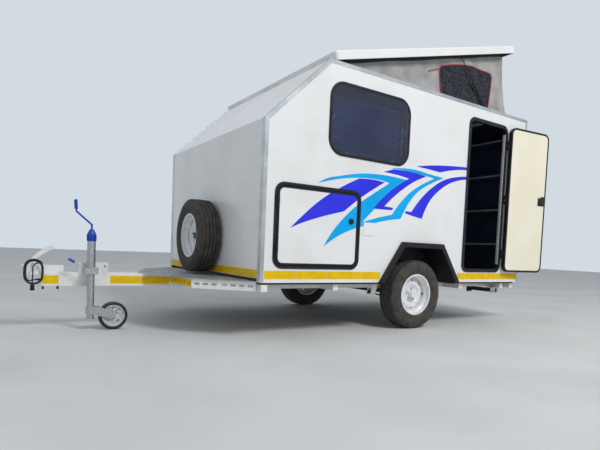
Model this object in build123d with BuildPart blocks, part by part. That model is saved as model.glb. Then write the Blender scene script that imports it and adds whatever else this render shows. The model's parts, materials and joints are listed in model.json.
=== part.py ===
from build123d import *
import math
import os

os.makedirs("parts", exist_ok=True)

# All lengths are millimetres. X runs back from the tow ball, Y to the vehicle's right, Z up.
# Driving dimensions of the body.
ground_z = -430.0
hitch_to_wall = 1400.0
body_length = 3170.0
body_width = 2000.0
front_height = 1188.0
roof_height = 1729.0
slope_run = 552.0
wall = 30.0
floor_thickness = 40.0
floor_drop = 16.0
front_wall_foot = 30.0
fit_gap = 0.5
swing_gap = 5.0
running_gap = 0.3

# Openings in the side walls: centre back from the front wall, centre height, width, height.
window_centre_x = 995.0
window_centre_z = roof_height - 434.0
window_width = 876.0
window_height = 578.0
window_corner = 78.0
window_band = 24.0
locker_centre_x = 506.0
locker_centre_z = 427.0
locker_width = 818.0
locker_height = 642.0
locker_corner = 82.0
locker_band = 22.0
doorway_foot = 99.0
doorway_head = roof_height - 122.0
doorway_centre_x = body_length - 638.0
doorway_centre_z = (doorway_head + doorway_foot) / 2
doorway_width = 615.0
doorway_height = doorway_head - doorway_foot
doorway_corner = 78.0
doorway_band = 34.0
flange_proud = 6.0
flange_lap = 14.0

# Wheel arch on the side wall, and the box behind it.
arch_foot_front = 1150.0
arch_top_front = 1402.0
arch_top_rear = 1927.0
arch_foot_rear = 2183.0
arch_height = 358.0
arch_band = 44.0
arch_proud = 26.0
wheel_box_sheet = 3.0

# Running gear.
axle_back = 1650.0
tyre_radius = 314.5
tyre_width = 195.0
tyre_outer_y = 990.0
rim_radius = 177.8
rim_flange_radius = 195.0
rim_width = 160.0
axle_square = 50.0
spring_width = 45.0
spring_half_span = 350.0
spring_camber = 34.0
spring_leaf = 7.0
rail_width = 50.0
rail_height = 50.0
rail_outer_y = 760.0
wheel_box_inner_y = 765.0
chassis_top = -floor_drop

# Drawbar, deck and coupling.
beam_height = 100.0
beam_width = 50.0
beam_top = 4.0
nose_start = 90.0
nose_end = 570.0
beam_spread_deg = 10.0
deck_sheet = 4.0
deck_front_x = 820.0
deck_front_half = 130.0
deck_wing_x = 1022.0
deck_wing_half = 645.0
crossbar_depth = 40.0
crossbar_height = 70.0
ball_radius = 25.4
coupling_radius = 42.0
coupling_top = 58.0
coupling_shaft_end = 240.0
coupling_half_width = 32.0

# Jockey wheel.
jockey_x = 415.0
jockey_y = -137.0
jockey_outer_radius = 30.0
jockey_inner_radius = 26.0
jockey_tube_top = 250.0
jockey_tube_bottom = -4.0
jockey_trail = 165.0
jockey_wheel_radius = 108.0
jockey_wheel_width = 50.0

# Lid, struts and tent canvas. The lid is hinged at its front edge on the flat roof.
lid_front_x = 607.0
lid_length = body_length - lid_front_x - 202.0
lid_depth = 72.0
lid_skin = 25.0
lid_rim = 12.0
lid_seat_gap = 4.0
lid_open_deg = 15.5
hinge_barrel = 6.0
roof_opening_front = 700.0
roof_opening_rear = body_length - 290.0
roof_opening_half = 900.0
canvas_half = 930.0
canvas_sheet = 3.0
canvas_front = 690.0
canvas_foot_rear = body_length - 264.0
canvas_top_rear = canvas_foot_rear - 125.0
strut_y = 957.0
strut_radius = 10.0
strut_rod_radius = 4.0
strut_roof_x = body_length - 686.0
strut_roof_z = roof_height + 37.0
strut_lid_x = strut_roof_x - 344.0
strut_lid_rise = 18.0
strut_tube_length = 272.0

# Doors.
entry_door_width = doorway_width - 30.0
entry_door_height = doorway_height - 18.0
entry_door_thickness = 32.0
entry_door_open_deg = 174.0
entry_hinge_y = -1030.0

# Derived places.
front_x = hitch_to_wall
rear_x = hitch_to_wall + body_length
half = body_width / 2
inner_half = half - wall
axle_x = front_x + axle_back
hub_z = ground_z + tyre_radius
slope_angle = math.atan2(roof_height - front_height, slope_run)
slope_inner_drop = wall / math.cos(slope_angle)
inner_front_z = front_height + wall * math.tan(slope_angle) - slope_inner_drop
inner_roof_z = roof_height - wall
inner_slope_x = (inner_roof_z - front_height + slope_inner_drop) / math.tan(slope_angle)
floor_top = floor_thickness - floor_drop
beam_bottom = beam_top - beam_height


def block(x_low, x_high, y_low, y_high, z_low, z_high, mode=Mode.ADD):
    """A plain block between its low and high corners."""
    centre = ((x_low + x_high) / 2, (y_low + y_high) / 2, (z_low + z_high) / 2)
    with Locations(centre):
        Box(x_high - x_low, y_high - y_low, z_high - z_low, mode=mode)


def prism_xz(points, y_low, y_high, mode=Mode.ADD):
    """An outline in X and Z, thick from y_low to y_high."""
    with BuildSketch(Plane.XZ.offset(-y_high)) as profile:
        with BuildLine():
            Polyline(*points, close=True)
        make_face()
    extrude(profile.sketch, amount=y_high - y_low, mode=mode)


def prism_xy(points, z_low, z_high, mode=Mode.ADD):
    """An outline in X and Y, thick from z_low to z_high."""
    with BuildSketch(Plane.XY.offset(z_low)) as profile:
        with BuildLine():
            Polyline(*points, close=True)
        make_face()
    extrude(profile.sketch, amount=z_high - z_low, mode=mode)


def rounded_plate(centre_x, centre_z, width, height, corner, y_low, y_high, mode=Mode.ADD):
    """A plate with round corners, upright along the side wall."""
    with BuildSketch(Plane.XZ.offset(-y_high)) as profile:
        with Locations((centre_x, centre_z)):
            RectangleRounded(width, height, corner)
    extrude(profile.sketch, amount=y_high - y_low, mode=mode)


def rod(start, end, radius, mode=Mode.ADD):
    """A round bar between two points."""
    direction = Vector(*end) - Vector(*start)
    with BuildSketch(Plane(origin=start, z_dir=direction)) as profile:
        Circle(radius)
    extrude(profile.sketch, amount=direction.length, mode=mode)


def write(builder, label):
    """Labels a finished piece and writes its file."""
    builder.part.label = label
    export_step(builder.part, f"parts/{label}.step")


# Side outline of the body, from the front foot round to the rear foot.
side_outline = [
    (front_x, 0),
    (front_x, front_height),
    (front_x + slope_run, roof_height),
    (rear_x, roof_height),
    (rear_x, 0),
]
arch_side_angle = math.atan2(arch_height, arch_top_front - arch_foot_front)


def arch_inset(inset, foot_z):
    """The arch outline moved inwards by the inset, with its feet at the given height."""
    top = arch_height - inset
    lean = 1 / math.tan(arch_side_angle)
    slip = inset / math.sin(arch_side_angle)
    front_foot = front_x + arch_foot_front + slip
    rear_foot = front_x + arch_foot_rear - slip
    return [
        (front_foot + foot_z * lean, foot_z),
        (front_foot + top * lean, top),
        (rear_foot - top * lean, top),
        (rear_foot - foot_z * lean, foot_z),
    ]


# Rounded openings in the walls, one row each: centre x, centre z, width, height, corner, band.
openings = {
    "window": (window_centre_x, window_centre_z, window_width, window_height, window_corner, window_band),
    "locker": (locker_centre_x, locker_centre_z, locker_width, locker_height, locker_corner, locker_band),
    "doorway": (
        doorway_centre_x,
        doorway_centre_z,
        doorway_width,
        doorway_height,
        doorway_corner,
        doorway_band,
    ),
}


def opening_plate(name, inset, y_low, y_high, mode=Mode.ADD):
    """A plate as large as a named opening's outer frame, less the inset all round."""
    centre_x, centre_z, width, height, corner, band = openings[name]
    rounded_plate(
        front_x + centre_x,
        centre_z,
        width - 2 * inset,
        height - 2 * inset,
        corner - inset,
        y_low,
        y_high,
        mode,
    )


def opening_frame(name):
    """A frame with an outer flange on the wall and a collar through it, for the left wall."""
    band = openings[name][5]
    opening_plate(name, 0, -half - flange_proud, -half)
    opening_plate(name, flange_lap, -half, -inner_half)
    opening_plate(name, band, -half - flange_proud, -inner_half, Mode.SUBTRACT)


# Body panels
for side, label in ((-1, "wall_left"), (1, "wall_right")):
    y_low = min(side * half, side * inner_half)
    y_high = max(side * half, side * inner_half)
    with BuildPart() as side_wall:
        prism_xz(side_outline, y_low, y_high)
        prism_xz(arch_inset(arch_band - wheel_box_sheet, -1), y_low, y_high, Mode.SUBTRACT)
        opening_plate("window", flange_lap, y_low, y_high, Mode.SUBTRACT)
        opening_plate("locker", flange_lap, y_low, y_high, Mode.SUBTRACT)
        if side < 0:
            opening_plate("doorway", flange_lap, y_low, y_high, Mode.SUBTRACT)
    write(side_wall, label)

panel_profiles = {
    "wall_front": [
        (front_x, front_wall_foot),
        (front_x, front_height),
        (front_x + wall, inner_front_z),
        (front_x + wall, front_wall_foot),
    ],
    "front_slope": [
        (front_x, front_height),
        (front_x + slope_run, roof_height),
        (front_x + inner_slope_x, inner_roof_z),
        (front_x + wall, inner_front_z),
    ],
    "wall_rear": [
        (rear_x, roof_height),
        (rear_x, 0),
        (rear_x - wall, 0),
        (rear_x - wall, inner_roof_z),
    ],
}
for label, profile in panel_profiles.items():
    with BuildPart() as panel:
        prism_xz(profile, -inner_half, inner_half)
    write(panel, label)

with BuildPart() as roof_frame:
    prism_xz(
        [
            (front_x + slope_run, roof_height),
            (rear_x, roof_height),
            (rear_x - wall, inner_roof_z),
            (front_x + inner_slope_x, inner_roof_z),
        ],
        -inner_half,
        inner_half,
    )
    block(
        front_x + roof_opening_front,
        front_x + roof_opening_rear,
        -roof_opening_half,
        roof_opening_half,
        inner_roof_z - 1,
        roof_height + 1,
        Mode.SUBTRACT,
    )
write(roof_frame, "roof_frame")

with BuildPart() as floor_panel:
    block(front_x + wall, rear_x - wall, -inner_half, inner_half, chassis_top, floor_top)
    box_outline = arch_inset(arch_band - wheel_box_sheet, chassis_top - 1)
    prism_xz(box_outline, -half, wheel_box_sheet - wheel_box_inner_y, Mode.SUBTRACT)
    prism_xz(box_outline, wheel_box_inner_y - wheel_box_sheet, half, Mode.SUBTRACT)
write(floor_panel, "floor_panel")

# Wheel arches: a boxed liner through the wall and a folded flare outside it, each side one piece.
with BuildPart() as wheel_arches:
    prism_xz(arch_inset(arch_band - wheel_box_sheet, chassis_top), -half, wheel_box_sheet - wheel_box_inner_y)
    prism_xz(arch_inset(arch_band, chassis_top - 1), -half - 1, -wheel_box_inner_y, Mode.SUBTRACT)
    prism_xz(arch_inset(0, 0), -half - arch_proud, -half)
    prism_xz(arch_inset(arch_band, -1), -half - arch_proud - 1, -half + 1, Mode.SUBTRACT)
    mirror(about=Plane.XZ)
write(wheel_arches, "wheel_arches")

# Edge trims: folded aluminium angle along the front, slope and roof edges of each side.
trim_sheet = 2.0
trim_side = 28.0
trim_front = 46.0
with BuildPart() as edge_trims:
    with BuildSketch(Plane.XZ.offset(half - trim_front)) as trim_outer:
        with BuildLine():
            Polyline(*side_outline, close=True)
        make_face()
        offset(amount=trim_sheet, kind=Kind.INTERSECTION)
        with BuildLine():
            Polyline(*side_outline, close=True)
        make_face(mode=Mode.SUBTRACT)
    extrude(amount=trim_front)
    with BuildSketch(Plane.XZ.offset(half)) as trim_face:
        with BuildLine():
            Polyline(*side_outline, close=True)
        make_face()
        offset(amount=trim_sheet, kind=Kind.INTERSECTION)
        with BuildLine():
            Polyline(
                (front_x + trim_side, -trim_sheet - 1),
                (front_x + trim_side, front_height - trim_side * math.tan(math.pi / 4 - slope_angle / 2)),
                (front_x + slope_run + trim_side * math.tan(slope_angle / 2), roof_height - trim_side),
                (rear_x - trim_side, roof_height - trim_side),
                (rear_x - trim_side, -trim_sheet - 1),
                close=True,
            )
        make_face(mode=Mode.SUBTRACT)
    extrude(amount=trim_sheet)
    block(front_x - 10, rear_x + 10, -half - 10, 0, -trim_sheet - 1, 0, Mode.SUBTRACT)
    mirror(about=Plane.XZ)
write(edge_trims, "edge_trims")

# Windows and locker frames, on both sides.
with BuildPart() as window_frames:
    opening_frame("window")
    mirror(about=Plane.XZ)
write(window_frames, "window_frames")

pane_thickness = 5.0
with BuildPart() as window_panes:
    pane_y = -half - flange_proud + 1
    opening_plate("window", window_band + fit_gap, pane_y, pane_y + pane_thickness)
    mirror(about=Plane.XZ)
write(window_panes, "window_panes")

with BuildPart() as window_blinds:
    blind_y = -inner_half - 12
    opening_plate("window", window_band + fit_gap, blind_y, blind_y + 8)
    mirror(about=Plane.XZ)
write(window_blinds, "window_blinds")

# Doors. A hinge is a row of barrels round one upright axis, fixed and moving in turn.
def barrel(x, y, z_low, z_high, radius, mode=Mode.ADD):
    """One upright hinge barrel."""
    with BuildSketch(Plane.XY.offset(z_low)) as profile:
        with Locations((x, y)):
            Circle(radius)
    extrude(profile.sketch, amount=z_high - z_low, mode=mode)


barrel_radius = 7.0
barrel_length = 28.0
barrel_gap = 0.5
doorway_x = front_x + doorway_centre_x
entry_edge_x = doorway_x + entry_door_width / 2
entry_hinge_x = entry_edge_x + barrel_radius + 3
entry_hinge_heights = [doorway_centre_z + step for step in (-560.0, 0.0, 560.0)]
with BuildPart() as door_frame:
    opening_frame("doorway")
    for height in entry_hinge_heights:
        for end in (-1, 1):
            z_mid = height + end * (barrel_length + barrel_gap)
            z_low = z_mid - barrel_length / 2
            z_high = z_mid + barrel_length / 2
            barrel(entry_hinge_x, entry_hinge_y, z_low, z_high, barrel_radius)
            block(
                entry_hinge_x - 4,
                entry_hinge_x + 4,
                entry_hinge_y,
                -half,
                z_low,
                z_high,
            )
        block(
            entry_hinge_x - 14,
            entry_hinge_x + 14,
            -half - 4,
            -half,
            height - 1.5 * barrel_length,
            height + 1.5 * barrel_length,
        )
write(door_frame, "door_frame")

entry_axis = Axis((entry_hinge_x, entry_hinge_y, 0), (0, 0, 1))
entry_inner_y = -half - flange_proud - swing_gap
entry_outer_y = entry_inner_y - entry_door_thickness
entry_band = 20.0


def entry_plate(inset, y_low, y_high, mode=Mode.ADD):
    """A plate of the closed entry door, less the inset all round."""
    rounded_plate(
        doorway_x,
        doorway_centre_z,
        entry_door_width - 2 * inset,
        entry_door_height - 2 * inset,
        doorway_corner - 8 - inset,
        y_low,
        y_high,
        mode,
    )


with BuildPart() as entry_edge_closed:
    entry_plate(0, entry_outer_y, entry_inner_y)
    entry_plate(entry_band, entry_outer_y - 1, entry_inner_y + 1, Mode.SUBTRACT)
    for height in entry_hinge_heights:
        z_low = height - barrel_length / 2
        z_high = height + barrel_length / 2
        barrel(entry_hinge_x, entry_hinge_y, z_low, z_high, barrel_radius)
        block(entry_edge_x - 4, entry_hinge_x, entry_hinge_y - 3, entry_hinge_y + 3, z_low, z_high)
    lock_x = doorway_x - entry_door_width / 2 + entry_band + 30
    lock_z = doorway_centre_z + 30
    block(lock_x - 28, lock_x + 28, entry_inner_y - 1, entry_inner_y + 3, lock_z - 45, lock_z + 45)
    block(lock_x - 26, lock_x + 4, entry_outer_y - 12, entry_outer_y + 2, lock_z - 60, lock_z + 60)
with BuildPart() as entry_door_edge:
    add(entry_edge_closed.part.rotate(entry_axis, entry_door_open_deg))
write(entry_door_edge, "entry_door_edge")

entry_liner = 8.0
with BuildPart() as entry_panel_closed:
    entry_plate(entry_band, entry_outer_y + 2, entry_inner_y - entry_liner)
with BuildPart() as entry_door_panel:
    add(entry_panel_closed.part.rotate(entry_axis, entry_door_open_deg))
write(entry_door_panel, "entry_door_panel")

with BuildPart() as entry_liner_closed:
    entry_plate(entry_band, entry_inner_y - entry_liner, entry_inner_y - 1)
with BuildPart() as entry_door_liner:
    add(entry_liner_closed.part.rotate(entry_axis, entry_door_open_deg))
write(entry_door_liner, "entry_door_liner")

locker_x = front_x + locker_centre_x
locker_door_inset = locker_band + swing_gap
locker_edge_x = locker_x - locker_width / 2 + locker_door_inset
locker_outer_y = -half - flange_proud
locker_inner_y = locker_outer_y + 28
locker_trim_band = 16.0
locker_hinge_x = locker_edge_x - 6
locker_hinge_y = locker_outer_y - 6
locker_hinge_heights = [locker_centre_z + step for step in (-180.0, 180.0)]
knob_x = locker_x + locker_width / 2 - 100
knob_z = locker_centre_z + 70
locker_barrel = 5.0
with BuildPart() as locker_frames:
    opening_frame("locker")
    for height in locker_hinge_heights:
        for end in (-1, 1):
            z_mid = height + end * (barrel_length + barrel_gap)
            z_low = z_mid - barrel_length / 2
            z_high = z_mid + barrel_length / 2
            barrel(locker_hinge_x, locker_hinge_y, z_low, z_high, locker_barrel)
            block(locker_hinge_x - 12, locker_hinge_x, locker_outer_y - 4, locker_outer_y, z_low, z_high)
    mirror(about=Plane.XZ)
write(locker_frames, "locker_frames")

for side, label in ((-1, "left"), (1, "right")):
    with BuildPart() as locker_door:
        opening_plate("locker", locker_door_inset + locker_trim_band, locker_outer_y + 1, locker_inner_y)
        if side > 0:
            mirror(about=Plane.XZ, mode=Mode.REPLACE)
    write(locker_door, f"locker_door_{label}")
    with BuildPart() as locker_trim:
        opening_plate("locker", locker_door_inset, locker_outer_y, locker_inner_y)
        opening_plate(
            "locker",
            locker_door_inset + locker_trim_band,
            locker_outer_y - 1,
            locker_inner_y + 1,
            Mode.SUBTRACT,
        )
        for height in locker_hinge_heights:
            z_low = height - barrel_length / 2
            z_high = height + barrel_length / 2
            barrel(locker_hinge_x, locker_hinge_y, z_low, z_high, locker_barrel)
            block(
                locker_hinge_x,
                locker_edge_x + 12,
                locker_hinge_y - 3,
                locker_hinge_y + 3,
                z_low,
                z_high,
            )
            block(
                locker_edge_x,
                locker_edge_x + 12,
                locker_hinge_y - 3,
                locker_outer_y,
                z_low,
                z_high,
            )
        with BuildSketch(Plane.XZ.offset(-locker_outer_y - 1)):
            with Locations((knob_x, knob_z)):
                Circle(22)
        extrude(amount=14)
        if side > 0:
            mirror(about=Plane.XZ, mode=Mode.REPLACE)
    write(locker_trim, f"locker_trim_{label}")

# Interior: bed platform over the front hold, its bulkhead, and the cabinet along the rear wall.
bed_top = 790.0
bed_sheet = 18.0
bulkhead_x = front_x + 960.0
with BuildPart() as bed_base:
    block(front_x + wall, bulkhead_x + bed_sheet, -inner_half, inner_half, bed_top - bed_sheet, bed_top)
    block(bulkhead_x, bulkhead_x + bed_sheet, -inner_half, inner_half, floor_top, bed_top)
write(bed_base, "bed_base")

cabinet_depth = 250.0
cabinet_top = inner_roof_z - 199.0
cabinet_board = 16.0
board_gap = 0.3
cabinet_front = rear_x - wall - cabinet_depth
cabinet_half = inner_half - 2
shelf_count = 5
shelf_pitch = (cabinet_top - floor_top - cabinet_board) / (shelf_count - 1)
upright_places = (cabinet_board / 2 - cabinet_half, 0.0, cabinet_half - cabinet_board / 2)
with BuildPart() as rear_cabinet:
    for upright_y in upright_places:
        block(
            cabinet_front,
            rear_x - wall,
            upright_y - cabinet_board / 2,
            upright_y + cabinet_board / 2,
            floor_top,
            cabinet_top,
        )
    for start, end in zip(upright_places, upright_places[1:]):
        y_low = start + cabinet_board / 2 + board_gap
        y_high = end - cabinet_board / 2 - board_gap
        for number in range(shelf_count):
            shelf_z = floor_top + number * shelf_pitch
            block(cabinet_front, rear_x - wall, y_low, y_high, shelf_z, shelf_z + cabinet_board)
write(rear_cabinet, "rear_cabinet")

# Cross tubes of the chassis: back from the front wall, half length.
cross_tubes = [
    (18.0, 995.0),
    (700.0, 960.0),
    (body_length - 910.0, 960.0),
    (body_length - 245.0, 960.0),
    (body_length - 70.0, 960.0),
]
chassis_bottom = chassis_top - rail_height
hanger_sheet = 6.0
steady_x = front_x + cross_tubes[3][0] + rail_width / 2
steady_y = -880.0
steady_z = chassis_bottom - 34
steady_tube = 40.0
steady_heel = 12.0
steady_pin = 8.0
steady_length = 318.0

# Springs: an arc of three leaves under the axle.
spring_y = rail_outer_y - rail_width / 2
spring_top = hub_z - axle_square / 2
spring_radius = (spring_half_span**2 + spring_camber**2) / (2 * spring_camber)
spring_pad = 4.0
spring_centre_z = spring_top - spring_pad + spring_radius
eye_z = spring_top - spring_pad + spring_camber
eye_radius = 15.0


def leaf(half_span, depth):
    """One leaf as an arc band, at the given depth below the pack's top."""
    outer = spring_radius + depth + spring_leaf
    inner = spring_radius + depth
    angle = math.degrees(math.asin(half_span / spring_radius))
    with BuildSketch(Plane.XZ.offset(spring_y - spring_width / 2)) as profile:
        with BuildLine():
            upper = CenterArc((axle_x, spring_centre_z), inner, 270 - angle, 2 * angle)
            lower = CenterArc((axle_x, spring_centre_z), outer, 270 - angle, 2 * angle)
            Line(upper @ 0, lower @ 0)
            Line(upper @ 1, lower @ 1)
        make_face()
    extrude(profile.sketch, amount=spring_width)


with BuildPart() as leaf_springs:
    for number, share in enumerate((1.0, 0.72, 0.44)):
        leaf(spring_half_span * share, number * spring_leaf)
    for end in (-1, 1):
        eye = (axle_x + end * spring_half_span, eye_z)
        with BuildSketch(Plane.XZ.offset(spring_y - spring_width / 2)):
            with Locations(eye):
                Circle(eye_radius)
        extrude(amount=spring_width)
    block(
        axle_x - axle_square / 2,
        axle_x + axle_square / 2,
        -spring_y - spring_width / 2,
        -spring_y + spring_width / 2,
        spring_top - spring_pad - 2,
        spring_top,
    )
    pad_low = spring_top - spring_pad - 3 * spring_leaf
    block(
        axle_x - 45,
        axle_x + 45,
        -spring_y - 40,
        -spring_y + 40,
        pad_low - 8,
        pad_low + 4,
    )
    mirror(about=Plane.XZ)
write(leaf_springs, "leaf_springs")

# Chassis: two long rails with cross tubes at one level under the floor, spring hangers below the
# rails and a bracket for each rear steady.
with BuildPart() as chassis_frame:
    for back, half_length in cross_tubes:
        block(
            front_x + back,
            front_x + back + rail_width,
            -half_length,
            0,
            chassis_bottom,
            chassis_top,
        )
    block(
        front_x + cross_tubes[0][0],
        front_x + cross_tubes[-1][0] + rail_width,
        -rail_outer_y,
        rail_width - rail_outer_y,
        chassis_bottom,
        chassis_top,
    )
    for end in (-1, 1):
        eye_x = axle_x + end * spring_half_span
        foot_x = eye_x - end * 30
        for face in (-1, 1):
            y_mid = -spring_y + face * (spring_width / 2 + running_gap + hanger_sheet / 2)
            prism_xz(
                [
                    (foot_x - 40, chassis_bottom),
                    (foot_x + 40, chassis_bottom),
                    (eye_x + 18, eye_z - 18),
                    (eye_x - 18, eye_z - 18),
                ],
                y_mid - hanger_sheet / 2,
                y_mid + hanger_sheet / 2,
            )
        block(
            foot_x - 40,
            foot_x + 40,
            -spring_y - spring_width / 2 - 2,
            -spring_y + spring_width / 2 + 2,
            chassis_bottom - 6,
            chassis_bottom,
        )
    block(steady_x - 90, steady_x + 90, steady_y - 40, steady_y + 40, chassis_bottom - 8, chassis_bottom)
    for end in (-1, 1):
        x_mid = steady_x + end * (steady_tube / 2 + 3 + 3)
        block(x_mid - 3, x_mid + 3, steady_y - 26, steady_y + 26, steady_z - 26, chassis_bottom)
    rod((steady_x - 26, steady_y, steady_z), (steady_x + 26, steady_y, steady_z), steady_pin)
    mirror(about=Plane.XZ)
write(chassis_frame, "chassis_frame")

# Axle: a square tube with a stub at each end.
stub_radius = 20.0
disc_offset = 12.0
stub_end_y = tyre_outer_y - tyre_width / 2 + disc_offset + 18
with BuildPart() as axle_beam:
    block(
        axle_x - axle_square / 2,
        axle_x + axle_square / 2,
        -rail_outer_y - 15,
        rail_outer_y + 15,
        hub_z - axle_square / 2,
        hub_z + axle_square / 2,
    )
    for side in (-1, 1):
        rod((axle_x, side * rail_outer_y, hub_z), (axle_x, side * stub_end_y, hub_z), stub_radius)
write(axle_beam, "axle_beam")


# Wheels, drawn about their own centre with Z out of the wheel's face.
def tyre_solid():
    """A tyre section turned about the wheel's axis."""
    half_width = tyre_width / 2
    seat = rim_radius + 1 + fit_gap
    bead = rim_width / 2 - 10 - fit_gap
    lip = (rim_flange_radius + 4, rim_width / 2 - 3)
    shoulder = (tyre_radius - 12, half_width - 16)
    sidewall = ((lip[0] + shoulder[0]) / 2 + 4, half_width)
    near, far = [], []
    for radius, height in ((seat, bead), (rim_flange_radius - 1, bead + 4), lip, sidewall, shoulder):
        near.append((radius, height))
        far.append((radius, -height))
    with BuildPart() as tyre:
        with BuildSketch(Plane.XZ):
            with BuildLine():
                Polyline(far[2], far[1], far[0], near[0], near[1], near[2])
                ThreePointArc(*near[2:])
                ThreePointArc(shoulder, (tyre_radius, 0), far[4])
                ThreePointArc(*far[2:])
            make_face()
        revolve(axis=Axis.Z)
    return tyre.part


rim_sheet = 5.0
hub_cap_radius = 33.0
hub_cap_height = 48.0
window_count = 8


def rim_solid(with_hub):
    """A pressed steel rim with eight windows, and the hub with its cap where it runs on an axle."""
    half_width = rim_width / 2
    with BuildPart() as rim:
        with BuildSketch(Plane.XZ):
            with BuildLine():
                Polyline(
                    (rim_flange_radius, half_width),
                    (rim_flange_radius, half_width - rim_sheet),
                    (rim_radius + 1, half_width - 10),
                    (rim_radius + 1, half_width - 34),
                    (rim_radius - 18, half_width - 52),
                    (rim_radius - 18, half_width - 84),
                    (rim_radius + 1, half_width - 104),
                    (rim_radius + 1, 10 - half_width),
                    (rim_flange_radius, rim_sheet - half_width),
                    (rim_flange_radius, -half_width),
                    (rim_radius - 4, -half_width),
                    (rim_radius - 4, half_width - 107),
                    (rim_radius - 23, half_width - 87),
                    (rim_radius - 23, half_width - 50),
                    (rim_radius - 4, half_width - 32),
                    (rim_radius - 4, half_width),
                    close=True,
                )
            make_face()
        revolve(axis=Axis.Z)
        with BuildSketch(Plane.XZ):
            with BuildLine():
                Polyline(
                    (34, disc_offset),
                    (72, disc_offset),
                    (88, disc_offset + 12),
                    (122, disc_offset + 12),
                    (rim_radius - 22, disc_offset - 14),
                    (rim_radius - 22, disc_offset - 20),
                    (120, disc_offset + 6),
                    (90, disc_offset + 6),
                    (74, disc_offset - 6),
                    (34, disc_offset - 6),
                    close=True,
                )
            make_face()
        revolve(axis=Axis.Z)
        with BuildSketch(Plane.XY.offset(disc_offset - 20)):
            with PolarLocations(128, window_count):
                RegularPolygon(15, 3)
        extrude(amount=40, mode=Mode.SUBTRACT)
        if with_hub:
            with BuildSketch(Plane.XY.offset(disc_offset - 6)):
                Circle(60)
            extrude(amount=-24)
            with BuildSketch(Plane.XY.offset(disc_offset - 6)):
                Circle(hub_cap_radius + 3)
            extrude(amount=6)
            with BuildSketch(Plane.XY.offset(disc_offset)):
                Circle(hub_cap_radius)
            extrude(amount=hub_cap_height)
            with BuildSketch(Plane.XY.offset(disc_offset - 31)):
                Circle(stub_radius + running_gap)
            extrude(amount=55, mode=Mode.SUBTRACT)
    return rim.part


hub_planes = {
    "left": Plane(origin=(axle_x, -tyre_outer_y + tyre_width / 2, hub_z), x_dir=(1, 0, 0), z_dir=(0, -1, 0)),
    "right": Plane(origin=(axle_x, tyre_outer_y - tyre_width / 2, hub_z), x_dir=(1, 0, 0), z_dir=(0, 1, 0)),
}
for label, plane in hub_planes.items():
    with BuildPart() as wheel_tyre:
        add(tyre_solid().moved(plane.location))
    write(wheel_tyre, f"tyre_{label}")
    with BuildPart() as wheel_rim:
        add(rim_solid(True).moved(plane.location))
    write(wheel_rim, f"rim_{label}")

# Spare wheel, upright on the front wall's carrier, facing forwards.
spare_gap = 14.0
spare_z = 335.0
spare_y = -40.0
spare_centre_x = front_x - spare_gap - tyre_width / 2
spare_plane = Plane(origin=(spare_centre_x, spare_y, spare_z), x_dir=(0, -1, 0), z_dir=(-1, 0, 0))
with BuildPart() as spare_tyre:
    add(tyre_solid().moved(spare_plane.location))
write(spare_tyre, "spare_tyre")
with BuildPart() as spare_rim:
    add(rim_solid(False).moved(spare_plane.location))
write(spare_rim, "spare_rim")
carrier_end_x = spare_centre_x - disc_offset + 6
with BuildPart() as spare_carrier:
    block(front_x - 8, front_x, spare_y - 90, spare_y + 90, spare_z - 90, spare_z + 90)
    rod((front_x - 8, spare_y, spare_z), (carrier_end_x, spare_y, spare_z), 55)
    rod((carrier_end_x, spare_y, spare_z), (carrier_end_x - 22, spare_y, spare_z), 26)
write(spare_carrier, "spare_carrier")

# Drawbar: a straight nose that parts into two beams.
spread = math.radians(beam_spread_deg)
beam_end_x = front_x + cross_tubes[0][0]
gland_x = nose_start - 14
gland_y = -22.0
gland_z = -50.0
with BuildPart() as drawbar:
    block(nose_start, nose_end, -beam_width, beam_width, beam_bottom, beam_top)
    slip = beam_width / math.cos(spread)
    run = beam_end_x - nose_end
    reach = run * math.tan(spread)
    for side in (-1, 1):
        prism_xy(
            [
                (nose_end, side * beam_width),
                (beam_end_x, side * (beam_width + reach)),
                (beam_end_x, side * (beam_width + reach - slip)),
                (nose_end, side * (beam_width - slip)),
            ],
            beam_bottom,
            beam_top,
        )
    for bolt_x in (nose_start + 15, nose_start + 115):
        rod((bolt_x, 0, beam_bottom), (bolt_x, 0, beam_bottom - 28), 8)
    rod((nose_start, gland_y, gland_z), (gland_x, gland_y, gland_z), 9)
write(drawbar, "drawbar")

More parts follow.
